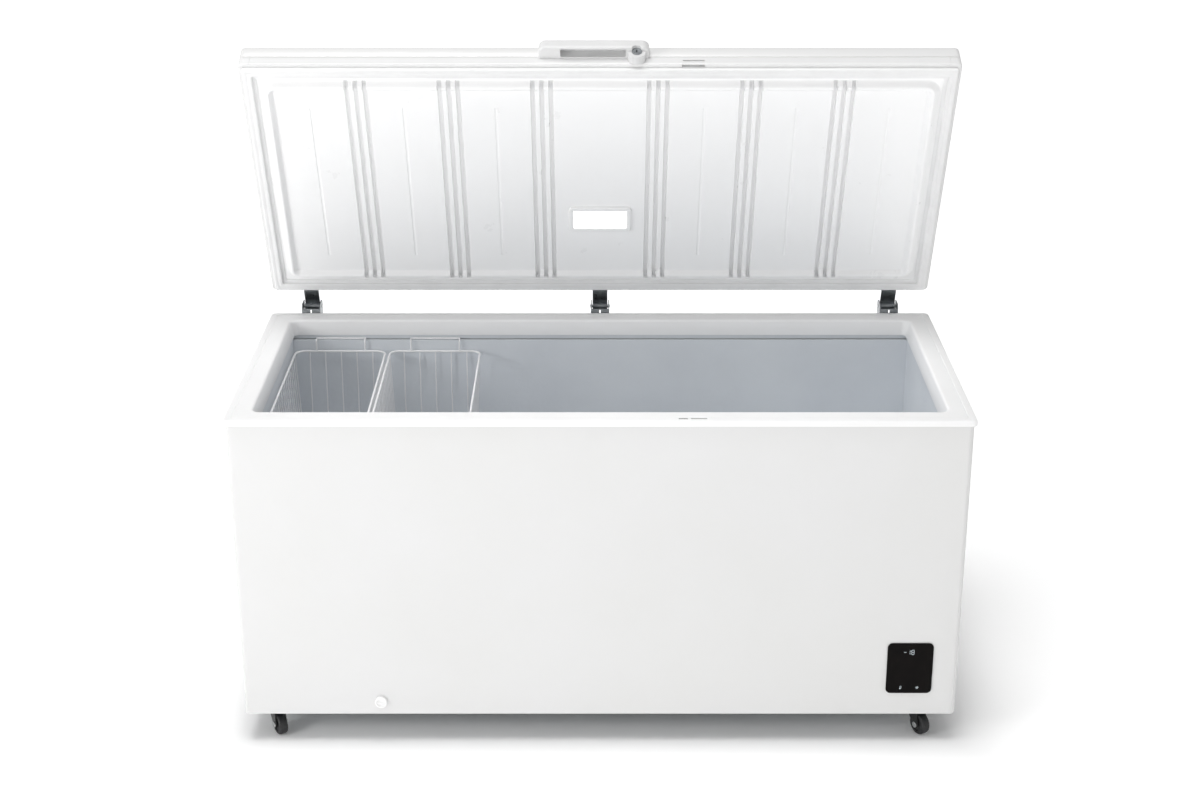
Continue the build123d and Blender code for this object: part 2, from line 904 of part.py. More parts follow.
def lamp_bezel():
    outer = lid_block(
        -lamp_width / 2,
        lamp_width / 2,
        lamp_s - lamp_height / 2,
        lamp_s + lamp_height / 2,
        -field_height - 7,
        -field_height,
    )
    outer = fillet(outer.edges().filter_by(Axis.Z), 12)
    outer = fillet(outer.edges().group_by(Axis.Z)[0], 3)
    half, tall = lamp_width / 2 - 9, lamp_height / 2 - 9
    sleeve = lid_block(-half, half, lamp_s - tall, lamp_s + tall, -field_height, 18)
    window = lid_block(
        -half + 1.5, half - 1.5, lamp_s - tall + 1.5, lamp_s + tall - 1.5, -field_height - 9, 16
    )
    return opened(outer + sleeve - window)


def lamp_lens():
    half, tall = lamp_width / 2 - 10.8, lamp_height / 2 - 10.8
    lens = lid_block(-half, half, lamp_s - tall, lamp_s + tall, -field_height - 8.5, -field_height - 5.5)
    return opened(lens)


def lamp_board():
    half, tall = lamp_width / 2 - 14, lamp_height / 2 - 14
    return opened(lid_block(-half, half, lamp_s - tall, lamp_s + tall, 6, 8))


def lid_handle():
    grip = lid_block(
        handle_left, handle_right, lid_length, lid_length + handle_reach, handle_low, handle_high
    )
    ends = grip.edges().filter_by(Axis.Z).group_by(Axis.Y)[0]
    grip = fillet(ends, 16)
    rims = grip.edges().group_by(Axis.Y)[0]
    grip = fillet(rims.filter_by(Axis.X), 5)
    recess = lid_block(
        -88, 58, lid_length + 4, lid_length + handle_reach - 5, handle_low - 1, handle_high - 6
    )
    grip -= fillet(recess.edges().filter_by(Axis.Z), 4)
    y_face = lid_rear_y - lid_length
    boss = rod(
        (lock_x, y_face - 20, lid_plane + lock_t), (lock_x, y_face, lid_plane + lock_t), lock_radius + 2
    )
    grip += boss
    bore = rod((lock_x, y_face - 40, lid_plane + lock_t), (lock_x, y_face + 1, lid_plane + lock_t), 11)
    return opened(grip - bore)


def lock_cylinder():
    y_face = lid_rear_y - lid_length
    z = lid_plane + lock_t
    barrel = rod((lock_x, y_face - 23, z), (lock_x, y_face, z), 11 - 0.05)
    barrel -= block(lock_x - 1.2, lock_x + 1.2, y_face - 24, y_face - 8, z - 4, z + 4)
    return opened(barrel)


def lock_link():
    # flat bar behind the front rail that carries the cylinder's turn to the hook
    link = lid_block(lock_x + 6, hook_x - 14, 664, 667, 24, 32)
    return opened(link)


def lock_hook():
    y_low, y_high = hook_y, hook_y + hook_plate
    z = lid_plane + hook_t
    hub = rod((hook_x, y_low, z), (hook_x, y_high, z), 5.5)
    arm = block(hook_x, hook_x + hook_reach, y_low, y_high, z - 3, z + 3)
    barb = block(hook_x + hook_reach - 6, hook_x + hook_reach, y_low, y_high, z - hook_barb, z + 3)
    return opened(hub + arm + barb)


def caster_frame(x, y):
    return Pos(x, y, 0) * Rot(0, 0, caster_turn)


def caster_plates():
    plates = []
    for x, y in caster_places():
        plate = block(-30, 30, -26, 26, cabinet_bottom - caster_plate, cabinet_bottom)
        plate = fillet(plate.edges().filter_by(Axis.Z), 6)
        king = rod((0, 0, king_head_top), (0, 0, cabinet_bottom - caster_plate), king_radius)
        head = rod((0, 0, king_head_top - 2.4), (0, 0, king_head_top), 8)
        plates.append((Pos(x, y, 0) * (plate + king + head)).solids()[0])
    return Compound(children=plates)


def caster_places():
    front, back = caster_inset, collar_depth - caster_inset
    return [(-caster_x - 20, front), (caster_x, front), (-caster_x - 20, back), (caster_x, back)]


def caster_fork():
    # modelled with the axle along X and the wheel trailing towards -Y
    inner = wheel_width / 2 + fork_gap
    outline = Polyline(
        (15, fork_top), (-18, fork_top), (-29, wheel_radius + 3), (-20, 15), (-10, 21), (15, 56), close=True
    )
    cheek = extrude(Plane.YZ * make_face(outline), amount=fork_sheet)
    left = Pos(-inner - fork_sheet, 0, 0) * cheek
    right = Pos(inner, 0, 0) * cheek
    crown = block(-inner, inner, -18, 15, fork_plate_low, fork_top)
    fork = left + right + crown
    fork -= rod((0, 0, 50), (0, 0, 80), king_radius + 0.06)
    return fork - rod((-30, -wheel_trail, wheel_radius), (30, -wheel_trail, wheel_radius), axle_radius)


def caster_wheel():
    half = wheel_width / 2
    tread = rod((-half, -wheel_trail, wheel_radius), (half, -wheel_trail, wheel_radius), wheel_radius)
    tread = fillet(tread.edges(), 4)
    dish = rod((half - 2, -wheel_trail, wheel_radius), (half + 1, -wheel_trail, wheel_radius), 17)
    hub = rod((-half - 0.5, -wheel_trail, wheel_radius), (half + 0.5, -wheel_trail, wheel_radius), 8)
    other = rod((-half - 1, -wheel_trail, wheel_radius), (2 - half, -wheel_trail, wheel_radius), 17)
    wheel = tread - dish - other + hub
    bore = rod((-30, -wheel_trail, wheel_radius), (30, -wheel_trail, wheel_radius), axle_radius + 0.05)
    return wheel - bore


def caster_axle():
    side = wheel_width / 2 + fork_gap + fork_sheet
    pin = rod((-side, -wheel_trail, wheel_radius), (side, -wheel_trail, wheel_radius), axle_radius)
    head = rod((-side - 3, -wheel_trail, wheel_radius), (-side, -wheel_trail, wheel_radius), 7)
    nut = rod((side, -wheel_trail, wheel_radius), (side + 3, -wheel_trail, wheel_radius), 6)
    return pin + head + nut


def basket_wires(radius_rim, radius_thin):
    # a rim, hoops across, hoops along and a hanger at each end
    half = basket_width / 2
    low = -basket_depth
    front, back = basket_front, basket_back
    rim_path = (
        Pos(0, (front + back) / 2, 0) * RectangleRounded(basket_width, back - front, basket_corner)
    ).wire()
    wires = [sweep(Plane(origin=rim_path @ 0, z_dir=rim_path % 0) * Circle(radius_rim), path=rim_path)]
    bottom_half = half - 10
    hoops = 20
    first, last = front + basket_corner, back - basket_corner
    for index in range(hoops):
        y = first + (last - first) * index / (hoops - 1)
        points = [(-half, y, 0), (-bottom_half, y, low), (bottom_half, y, low), (half, y, 0)]
        wires.extend(rod(a, b, radius_thin) for a, b in zip(points, points[1:]))
        wires.extend(Pos(*point) * Sphere(radius_thin) for point in points[1:3])
    runners = 5
    for index in range(runners):
        x = -half * 0.7 + half * 1.4 * index / (runners - 1)
        points = [(x, front, 0), (x, front + 8, low + 2), (x, back - 8, low + 2), (x, back, 0)]
        wires.extend(rod(a, b, radius_thin) for a, b in zip(points, points[1:]))
        wires.extend(Pos(*point) * Sphere(radius_thin) for point in points[1:3])
    return wires + basket_hangers(half, radius_rim)


def basket_hangers(half, radius):
    reach = ledge_z + radius + slack - rim_z
    wall = rim_width + skirt_inset - 2
    wires = []
    for y, out in ((basket_front, wall + 5), (basket_back, collar_depth - wall - 5)):
        xs = (-half + hanger_inset, half - hanger_inset)
        points = [(xs[0], y, 0), (xs[0], y, reach), (xs[0], out, reach), (xs[1], out, reach)]
        points += [(xs[1], y, reach), (xs[1], y, 0)]
        wires.extend(rod(a, b, radius - 0.5) for a, b in zip(points, points[1:]))
        wires.extend(Pos(*point) * Sphere(radius - 0.5) for point in points[1:-1])
    return wires


def basket_zones():
    # the floor, the two long walls and the two ends, so that each one is nearly flat
    half, low = basket_width / 2, -basket_depth + 6
    side, end, far, high = half - 14, 12, half + 10, 60
    return [
        block(-far, far, basket_front - 30, basket_back + 30, -basket_depth - 10, low),
        block(-far, -side, basket_front - 30, basket_back + 30, low, high),
        block(side, far, basket_front - 30, basket_back + 30, low, high),
        block(-side, side, basket_front - 30, basket_front + end, low, high),
        block(-side, side, basket_back - end, basket_back + 30, low, high),
    ]


def wire_basket():
    basket = joined(basket_wires(rim_wire, thin_wire))
    solids = [solid for zone in basket_zones() for solid in (basket & zone).solids()]
    return Compound(children=solids)


def write_part(name, shape):
    export_step(Pos(0, front_y, 0) * shape, os.path.join("parts", name + ".step"))


os.makedirs("parts", exist_ok=True)

cabinet_parts = {
    "outer_wrap": outer_wrap,
    "rear_panel": rear_panel,
    "machine_cover": machine_cover,
    "vent_grille": vent_grille,
    "cord_gland": cord_gland,
    "base_pan": base_pan,
    "cabinet_foam": cabinet_foam,
    "inner_liner": inner_liner,
    "bay_partition": bay_partition,
    "collar_frame": collar_frame,
    "latch_keeper": latch_keeper,
    "lid_sensor": lid_sensor,
    "control_housing": control_housing,
    "control_glass": control_glass,
    "control_board": control_board,
    "drain_tube": drain_tube,
    "drain_cap": drain_cap,
    "inner_drain_plug": inner_drain_plug,
    "evaporator_coil": evaporator_coil,
    "condenser_coil": condenser_coil,
    "compressor_plate": compressor_plate,
    "compressor_mounts": compressor_mounts,
    "compressor": compressor,
    "start_relay": start_relay,
    "filter_drier": filter_drier,
    "refrigerant_pipes": refrigerant_pipes,
    "temperature_sensor": temperature_sensor,
    "hinge_bases": hinge_bases,
    "hinge_pins": hinge_pins,
    "hinge_springs": hinge_springs,
    "caster_plates": caster_plates,
}
lid_parts = {
    "hinge_leaves": hinge_leaves,
    "hinge_screws": hinge_screws,
    "lid_skin": lid_skin,
    "lid_rails": lid_rails,
    "lid_corners": lid_corners,
    "lid_liner": lid_liner,
    "lid_foam": lid_foam,
    "lid_gasket": lid_gasket,
    "lamp_bezel": lamp_bezel,
    "lamp_lens": lamp_lens,
    "lamp_board": lamp_board,
    "lid_handle": lid_handle,
    "lock_cylinder": lock_cylinder,
    "lock_link": lock_link,
    "lock_hook": lock_hook,
}
for name, make in (cabinet_parts | lid_parts).items():
    write_part(name, make())

corner_names = ("front_left", "front_right", "rear_left", "rear_right")
for corner, (x, y) in zip(corner_names, caster_places()):
    write_part("caster_fork_" + corner, caster_frame(x, y) * caster_fork())
    write_part("caster_wheel_" + corner, caster_frame(x, y) * caster_wheel())
    write_part("caster_axle_" + corner, caster_frame(x, y) * caster_axle())

basket = wire_basket()
for index, name in enumerate(("basket_left", "basket_right")):
    centre_x = basket_left + basket_width / 2 + basket_pitch * index
    write_part(name, Pos(centre_x, 0, rim_z) * basket)
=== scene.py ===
import json
import math

import bmesh
import bpy
import numpy as np
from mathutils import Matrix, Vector

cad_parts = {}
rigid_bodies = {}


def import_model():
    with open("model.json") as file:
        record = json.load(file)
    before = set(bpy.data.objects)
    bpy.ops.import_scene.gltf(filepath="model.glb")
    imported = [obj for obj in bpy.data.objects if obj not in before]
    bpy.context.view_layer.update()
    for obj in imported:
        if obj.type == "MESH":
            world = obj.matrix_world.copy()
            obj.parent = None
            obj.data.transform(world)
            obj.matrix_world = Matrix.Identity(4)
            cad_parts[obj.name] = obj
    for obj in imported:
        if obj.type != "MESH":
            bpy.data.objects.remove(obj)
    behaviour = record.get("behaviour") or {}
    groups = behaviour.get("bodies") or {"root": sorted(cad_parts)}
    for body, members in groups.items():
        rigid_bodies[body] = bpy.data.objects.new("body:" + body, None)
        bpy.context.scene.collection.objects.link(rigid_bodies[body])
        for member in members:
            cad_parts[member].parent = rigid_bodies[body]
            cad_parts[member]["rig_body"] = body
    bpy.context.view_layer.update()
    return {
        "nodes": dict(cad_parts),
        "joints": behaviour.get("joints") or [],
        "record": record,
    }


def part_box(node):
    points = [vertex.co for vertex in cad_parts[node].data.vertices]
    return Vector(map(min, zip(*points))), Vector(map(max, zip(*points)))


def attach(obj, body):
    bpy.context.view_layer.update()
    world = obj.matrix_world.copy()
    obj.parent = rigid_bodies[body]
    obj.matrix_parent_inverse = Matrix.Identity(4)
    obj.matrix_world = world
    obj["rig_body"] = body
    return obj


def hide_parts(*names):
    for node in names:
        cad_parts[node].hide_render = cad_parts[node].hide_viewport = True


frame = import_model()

# Chest freezer with its lid open: the shapes are worked out in millimetres and put
# down in metres. X runs along the cabinet, Y to the back, Z up.
mm = 0.001


# node and finish helpers
def linearHex(code, alpha=1.0):
    # sRGB hex to the linear colour that the shader wants
    parts = np.array([int(code[k:k + 2], 16) for k in (0, 2, 4)]) / 255.0
    flat = np.where(parts <= 0.04045, parts / 12.92, ((parts + 0.055) / 1.055) ** 2.4)
    return (*[float(x) for x in flat], alpha)


def addNode(material, kind, settings=None, links=None):
    # one node: a setting goes to an input of that name or number, or to the node itself
    node = material.node_tree.nodes.new(kind)
    for key, value in (settings or {}).items():
        if isinstance(key, int) or key in node.inputs:
            node.inputs[key].default_value = value
        else:
            setattr(node, key, value)
    for key, socket in (links or {}).items():
        material.node_tree.links.new(socket, node.inputs[key])
    return node


def makeFinish(name, look):
    # Colour drifts between two tints in soft blotches, a finer noise adds specks of
    # handling or dust, roughness drifts by itself, and the bumps are stacked fine on coarse.
    finish = bpy.data.materials.new(name)
    finish.use_nodes = True
    finish.node_tree.nodes.clear()
    place = addNode(finish, "ShaderNodeTexCoord")
    where = {"Vector": place.outputs["Object"]}
    blotch = addNode(finish, "ShaderNodeTexNoise",
                     {"Scale": 1000 / look["blotchMm"], "Detail": 4.0, "Roughness": 0.55}, where)
    colour = addNode(finish, "ShaderNodeValToRGB", None, {"Fac": blotch.outputs["Fac"]})
    for stop, spot, code in zip((0, 1), (0.35, 0.68), look["tints"]):
        colour.color_ramp.elements[stop].position = spot
        colour.color_ramp.elements[stop].color = linearHex(code)
    tint = colour.outputs["Color"]
    if "cells" in look:  # crystals or chips, each with its own tone
        sizeMm, code, share = look["cells"]
        cells = addNode(finish, "ShaderNodeTexVoronoi", {"Scale": 1000 / sizeMm}, where)
        tone = addNode(finish, "ShaderNodeSeparateColor", None, {"Color": cells.outputs["Color"]})
        part = addNode(finish, "ShaderNodeMath", {"operation": "MULTIPLY", 1: share},
                       {0: tone.outputs[0]})
        tint = addNode(finish, "ShaderNodeMix", {"data_type": "RGBA", 7: linearHex(code)},
                       {0: part.outputs[0], 6: tint}).outputs[2]
    speckMm, speckCode, speckFrom, speckShare = look["specks"]
    specks = addNode(finish, "ShaderNodeTexNoise",
                     {"Scale": 1000 / speckMm, "Detail": 6.0, "Roughness": 0.7}, where)
    mask = addNode(finish, "ShaderNodeMapRange",
                   {"From Min": speckFrom, "From Max": speckFrom + 0.12, "To Max": speckShare},
                   {"Value": specks.outputs["Fac"]})
    tint = addNode(finish, "ShaderNodeMix", {"data_type": "RGBA", 7: linearHex(speckCode)},
                   {0: mask.outputs["Result"], 6: tint}).outputs[2]
    polish = addNode(finish, "ShaderNodeTexNoise",
                     {"Scale": 1000 / look["polishMm"], "Detail": 5.0, "Roughness": 0.6}, where)
    rough = addNode(finish, "ShaderNodeMapRange",
                    {"From Min": 0.3, "From Max": 0.7, "To Min": look["rough"][0],
                     "To Max": look["rough"][1]}, {"Value": polish.outputs["Fac"]})
    normal = None
    for kind, sizeMm, depthMm in look["bumps"]:
        if kind == "grain":
            relief = addNode(finish, "ShaderNodeTexNoise",
                             {"Scale": 1000 / sizeMm, "Detail": 3.0}, where).outputs["Fac"]
        elif kind == "cells":
            relief = addNode(finish, "ShaderNodeTexVoronoi",
                             {"Scale": 1000 / sizeMm, "feature": "SMOOTH_F1"}, where).outputs["Distance"]
        else:
            relief = addNode(finish, "ShaderNodeTexWave",
                             {"Scale": 1000 / sizeMm / 6.2832 * 2, "Distortion": 0.6,
                              "bands_direction": kind}, where).outputs["Fac"]
        links = {"Height": relief}
        if normal:
            links["Normal"] = normal
        normal = addNode(finish, "ShaderNodeBump", {"Distance": depthMm * mm, "Strength": 1.0},
                         links).outputs["Normal"]
    settings = {"Metallic": look.get("metallic", 0.0), "IOR": look.get("ior", 1.5),
                "Coat Weight": look.get("coat", 0.0), "Coat Roughness": 0.12,
                "Subsurface Weight": look.get("soft", 0.0), "Subsurface Scale": 2 * mm}
    if "glow" in look:
        settings["Emission Color"] = linearHex(look["glow"][0])
        settings["Emission Strength"] = look["glow"][1]
    shader = addNode(finish, "ShaderNodeBsdfPrincipled", settings,
                     {"Base Color": tint, "Roughness": rough.outputs["Result"], "Normal": normal})
    addNode(finish, "ShaderNodeOutputMaterial", None, {"Surface": shader.outputs["BSDF"]})
    return finish


# finishes, each for the slot of the record that it carries
finishes = {
    # pre-painted steel: an even white dulled to pale grey as painted shade, so the cabinet's sheet reads
    # darker than the lid's inner panel; a faint orange peel softens reflections
    "dimmedPrePaintedSteel": {
        "tints": ("dfdfdf", "dddddc"), "blotchMm": 420, "specks": (2.0, "d5d5d4", 0.72, 0.10),
        "polishMm": 90, "rough": (0.30, 0.36), "bumps": [("grain", 6, 0.006)], "coat": 0.10},
    # moulded ABS: white with a fine matt grain
    "mouldedAbs": {
        "tints": ("f5f5f5", "f3f3f3"), "blotchMm": 120, "specks": (1.6, "e4e4e3", 0.72, 0.10),
        "polishMm": 40, "rough": (0.34, 0.42), "bumps": [("grain", 1.8, 0.005)]},
    # extruded rigid PVC rail: an even satin white, a shade greyer than the collar
    "extrudedPvc": {
        "tints": ("e2e2e2", "dfdfdf"), "blotchMm": 90, "specks": (1.4, "d0d0cf", 0.72, 0.10),
        "polishMm": 30, "rough": (0.32, 0.42), "bumps": [("grain", 1.6, 0.004)]},
    # moulded grey ABS: the handle's soft satin grey
    "greyMouldedAbs": {
        "tints": ("dddddd", "d8d8d8"), "blotchMm": 60, "specks": (1.4, "c8c8c8", 0.70, 0.15),
        "polishMm": 25, "rough": (0.36, 0.46), "bumps": [("grain", 1.6, 0.008)]},
    # vacuum formed polystyrene: smooth, with a shine that drifts; its white is kept brighter than the
    # cabinet's sheet as painted light on the lid's inner panel
    "brightenedFormedPolystyrene": {
        "tints": ("f9f9f9", "f7f7f7"), "blotchMm": 260, "specks": (1.8, "e5e5e4", 0.72, 0.08),
        "polishMm": 70, "rough": (0.27, 0.33), "bumps": [("grain", 3, 0.003)]},
    # stucco embossed sheet, painted: small pillows that break up the reflections
    "stuccoSheet": {
        "tints": ("dfe3e7", "d8dce1"), "blotchMm": 300, "specks": (2.0, "cfd3d7", 0.70, 0.12),
        "polishMm": 80, "rough": (0.30, 0.40), "bumps": [("cells", 9, 0.30), ("grain", 2, 0.006)]},
    # hot dip galvanised steel: spangle, each crystal with its own grey
    "galvanisedSheet": {
        "tints": ("b4b7b9", "abafb1"), "blotchMm": 160, "cells": (10, "c6c9ca", 0.30),
        "specks": (2.0, "9a9d9f", 0.68, 0.25), "polishMm": 24, "rough": (0.38, 0.50),
        "bumps": [("cells", 10, 0.01), ("grain", 2, 0.006)], "metallic": 1.0},
    # soft extruded PVC: matt with a fine grain
    "softPvc": {
        "tints": ("ececec", "e8e8e8"), "blotchMm": 50, "specks": (1.2, "d6d6d5", 0.70, 0.12),
        "polishMm": 20, "rough": (0.46, 0.56), "bumps": [("grain", 1.2, 0.006)]},
    # moulded black rubber: dull, with pale dusty specks
    "mouldedRubber": {
        "tints": ("1c1c1d", "262627"), "blotchMm": 14, "specks": (1.2, "4a4a49", 0.62, 0.4),
        "polishMm": 8, "rough": (0.6, 0.8), "bumps": [("grain", 1.2, 0.04)]},
    # zinc plated steel: cool grey with a cloudy passivated film
    "zincPlatedSteel": {
        "tints": ("8d9194", "a9adb0"), "blotchMm": 16, "specks": (0.9, "55585a", 0.64, 0.5),
        "polishMm": 6, "rough": (0.26, 0.44), "bumps": [("grain", 1.0, 0.015)], "metallic": 1.0},
    # ground steel pin: bright, with fine turned marks
    "groundSteel": {
        "tints": ("d5d6d6", "c3c5c6"), "blotchMm": 8, "specks": (0.6, "8b8d8e", 0.66, 0.4),
        "polishMm": 3, "rough": (0.14, 0.26), "bumps": [("X", 0.9, 0.01)], "metallic": 1.0},
    # phosphated spring steel: nearly black, oily
    "phosphatedSteel": {
        "tints": ("2b2c2e", "3a3b3d"), "blotchMm": 8, "specks": (0.8, "5d5e5f", 0.63, 0.5),
        "polishMm": 4, "rough": (0.36, 0.55), "bumps": [("grain", 0.8, 0.02)], "metallic": 0.8},
    # black powder coat: fine orange peel, rubbed paler on it here and there
    "blackPowderCoat": {
        "tints": ("141414", "1c1c1d"), "blotchMm": 18, "specks": (1.2, "4b4c4d", 0.66, 0.5),
        "polishMm": 9, "rough": (0.34, 0.5), "bumps": [("grain", 1.6, 0.04)], "coat": 0.1},
    # moulded polyamide tread: dark with grey scuffs from the floor
    "scuffedPolyamide": {
        "tints": ("1b1b1c", "29292b"), "blotchMm": 9, "specks": (1.4, "6b6a68", 0.60, 0.6),
        "polishMm": 5, "rough": (0.42, 0.66), "bumps": [("grain", 1.2, 0.05)]},
    # back-printed black glass: deep gloss with faint smears
    "blackGlass": {
        "tints": ("0b0909", "110e0d"), "blotchMm": 40, "specks": (3, "171413", 0.66, 0.3),
        "polishMm": 16, "rough": (0.14, 0.22), "bumps": [("grain", 3, 0.001)], "ior": 1.15},
    # epoxy coated wire: white, thick and a little uneven
    "coatedWire": {
        "tints": ("f4f4f5", "eeeeef"), "blotchMm": 30, "specks": (1.0, "d5d5d6", 0.68, 0.15),
        "polishMm": 10, "rough": (0.28, 0.38), "bumps": [("grain", 2, 0.02)], "coat": 0.15},
    # opal lens over the lamp: glows evenly
    "opalLens": {
        "tints": ("fbfbf8", "f4f5f2"), "blotchMm": 30, "specks": (2, "e6e6e2", 0.7, 0.3),
        "polishMm": 12, "rough": (0.3, 0.4), "bumps": [("grain", 2, 0.02)], "soft": 0.1,
        "glow": ("ffffff", 1.1)},
    # drawn copper tube: brown film over pink metal
    "drawnCopper": {
        "tints": ("b4704f", "8c533a"), "blotchMm": 12, "specks": (1.2, "5b3a2c", 0.62, 0.5),
        "polishMm": 6, "rough": (0.25, 0.45), "bumps": [("grain", 1.0, 0.02)], "metallic": 1.0},
    # stove enamel on the compressor: black, thick, slightly sagged
    "stoveEnamel": {
        "tints": ("101112", "17181a"), "blotchMm": 30, "specks": (1.5, "3b3c3d", 0.66, 0.4),
        "polishMm": 12, "rough": (0.18, 0.32), "bumps": [("grain", 9, 0.10)], "coat": 0.3},
    # rigid polyurethane foam: pale yellow, open torn cells
    "rigidFoam": {
        "tints": ("d9cfa8", "cbbf94"), "blotchMm": 20, "specks": (1.4, "a89b6e", 0.6, 0.5),
        "polishMm": 8, "rough": (0.8, 0.95), "bumps": [("cells", 3, 0.5), ("grain", 1.2, 0.2)]},
    # dark grey moulded housing: matt with a spark grain
    "greyMouldedHousing": {
        "tints": ("5b5e61", "505356"), "blotchMm": 20, "specks": (1.0, "7c7e80", 0.65, 0.3),
        "polishMm": 8, "rough": (0.45, 0.6), "bumps": [("grain", 1.0, 0.03)]},
    # coated board: green lacquer with paler copper below it
    "circuitBoard": {
        "tints": ("1f5a3a", "2b6b46"), "blotchMm": 5, "cells": (3.0, "6a8f57", 0.35),
        "specks": (0.7, "c8cdc2", 0.66, 0.5), "polishMm": 4, "rough": (0.28, 0.45),
        "bumps": [("cells", 3.0, 0.1)]},
    # printed ink: pale marks on the glass
    "printedInk": {
        "tints": ("c9d3d8", "bcc7cc"), "blotchMm": 6, "specks": (0.8, "98a2a7", 0.66, 0.3),
        "polishMm": 4, "rough": (0.35, 0.5), "bumps": [("grain", 0.6, 0.01)],
        "glow": ("c9d3d8", 0.25)},
    # painted shade: a near-black matt colour for the pieces under the collar's slots, so that the slots read
    # as deep shade
    "paintedSlotShade": {
        "tints": ("0d0d0e", "161617"), "blotchMm": 9, "specks": (1.0, "2c2c2d", 0.65, 0.4),
        "polishMm": 5, "rough": (0.6, 0.8), "bumps": [("grain", 1.0, 0.03)]},
}
finishOf = {name: makeFinish(name, look) for name, look in finishes.items()}
slotFinish = {
    "white_sheet": "dimmedPrePaintedSteel", "galvanised_sheet": "galvanisedSheet",
    "white_plastic": "mouldedAbs", "lid_panel_plastic": "brightenedFormedPolystyrene",
    "liner_sheet": "stuccoSheet", "rigid_foam": "rigidFoam", "seal_rubber": "softPvc",
    "black_rubber": "mouldedRubber", "hinge_steel": "zincPlatedSteel", "pin_steel": "groundSteel",
    "spring_steel": "phosphatedSteel", "black_steel": "blackPowderCoat",
    "wheel_plastic": "scuffedPolyamide", "black_glass": "blackGlass",
    "circuit_board": "circuitBoard", "lamp_diffuser": "opalLens", "copper_tube": "drawnCopper",
    "black_enamel": "stoveEnamel", "grey_plastic": "greyMouldedHousing",
    "coated_wire": "coatedWire",
}
slotOf = {part["node"]: part["material_slot"] for part in frame["record"]["subparts"]}
print("finishes:", len(finishOf))


# surface helpers
def turnedOut(points, faces, facing):
    # area vectors of the quads, summed against a direction, or away from the middle
    a, b, c, d = (points[faces[:, k]] for k in range(4))
    area = np.cross(c - a, d - b)
    if facing is None:
        centre = (a + b + c + d) / 4 - points.mean(0)
        return float((area * centre).sum()) >= 0
    return float((area @ np.array(facing, float)).sum()) >= 0


def gridPart(points, wrapU=False, wrapV=False, caps=False, facing=None, back=None):
    # A grid of rows and columns joined into quads. wrapU joins the last row to the first,
    # wrapV the last column to the first; caps close the two end rows; back closes an
    # open grid with a border wall and one face behind it.
    rows, columns = points.shape[:2]
    i = np.arange(rows if wrapU else rows - 1)[:, None]
    j = np.arange(columns if wrapV else columns - 1)[None, :]
    following, beside = (i + 1) % rows, (j + 1) % columns
    quads = np.stack([i * columns + j, i * columns + beside, following * columns + beside,
                      following * columns + j], -1).reshape(-1, 4)
    flat = points.reshape(-1, 3)
    extra = []
    if caps:
        first = np.arange(columns)
        extra = [first[::-1].tolist(), (first + (rows - 1) * columns).tolist()]
    if back is not None:
        border = np.concatenate([np.arange(columns), np.arange(1, rows) * columns + columns - 1,
                                 (rows - 1) * columns + np.arange(columns - 2, -1, -1),
                                 np.arange(rows - 2, 0, -1) * columns])
        behind = np.arange(len(border)) + len(flat)
        flat = np.concatenate([flat, flat[border] + np.array(back, float)])
        wall = np.stack([border, behind, np.roll(behind, -1), np.roll(border, -1)], -1)
        out = turnedOut(flat, quads, facing)
        quads = np.concatenate([quads, wall])
        extra = [behind.tolist()]
        return flat, quads if out else quads[:, ::-1], extra if out else [extra[0][::-1]]
    out = turnedOut(flat, quads, facing)
    return flat, quads if out else quads[:, ::-1], extra if out else [e[::-1] for e in extra]


def shaded(mesh, sharpDegrees):
    mesh.polygons.foreach_set("use_smooth", np.ones(len(mesh.polygons), bool))
    mesh.set_sharp_from_angle(angle=math.radians(sharpDegrees))


def joinParts(name, parts):
    # the parts become one mesh; their millimetres become metres
    points, faces, base = [], [], 0
    for flat, quads, extra in parts:
        points.append(flat * mm)
        faces += (quads + base).tolist() + [[k + base for k in e] for e in extra]
        base += len(flat)
    mesh = bpy.data.meshes.new(name)
    mesh.from_pydata(np.concatenate(points), [], faces)
    return mesh


def putDown(name, data):
    piece = bpy.data.objects.new(name, data)
    bpy.context.scene.collection.objects.link(piece)
    return piece


def addPiece(name, parts, finish, body, replaced=(), sharpDegrees=38):
    mesh = joinParts(name, parts)
    mesh.validate()
    shaded(mesh, sharpDegrees)
    piece = putDown(name, mesh)
    mesh.materials.append(finishOf[finish])
    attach(piece, body)
    if replaced:
        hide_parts(*replaced)
    return piece


def cornerLoop(halfX, halfY, inset, radius, perCorner=8):
    # a rounded rectangle: four quarter arcs about the corner centres, straight between them
    r = max(radius, 0.01)
    angle = np.linspace(0, np.pi / 2, perCorner)[None, :] + np.arange(4)[:, None] * np.pi / 2
    signX = np.array([1, -1, -1, 1])[:, None]
    signY = np.array([1, 1, -1, -1])[:, None]
    x = signX * (halfX - inset - r) + r * np.cos(angle)
    y = signY * (halfY - inset - r) + r * np.sin(angle)
    return np.stack([x.ravel(), y.ravel()], -1)


def loopRows(halfX, halfY, rows, perCorner=8):
    # rows of (inset, corner radius, height) stacked into a grid of loops
    loops = np.stack([cornerLoop(halfX, halfY, inset, radius, perCorner) for inset, radius, _ in rows])
    height = np.array([row[2] for row in rows], float)[:, None, None]
    return np.concatenate([loops, np.broadcast_to(height, loops.shape[:2] + (1,))], -1)


def arc(centreA, centreB, radius, start, end, count=6):
    angle = np.radians(np.linspace(start, end, count))
    return np.stack([centreA + radius * np.cos(angle), centreB + radius * np.sin(angle)], -1)


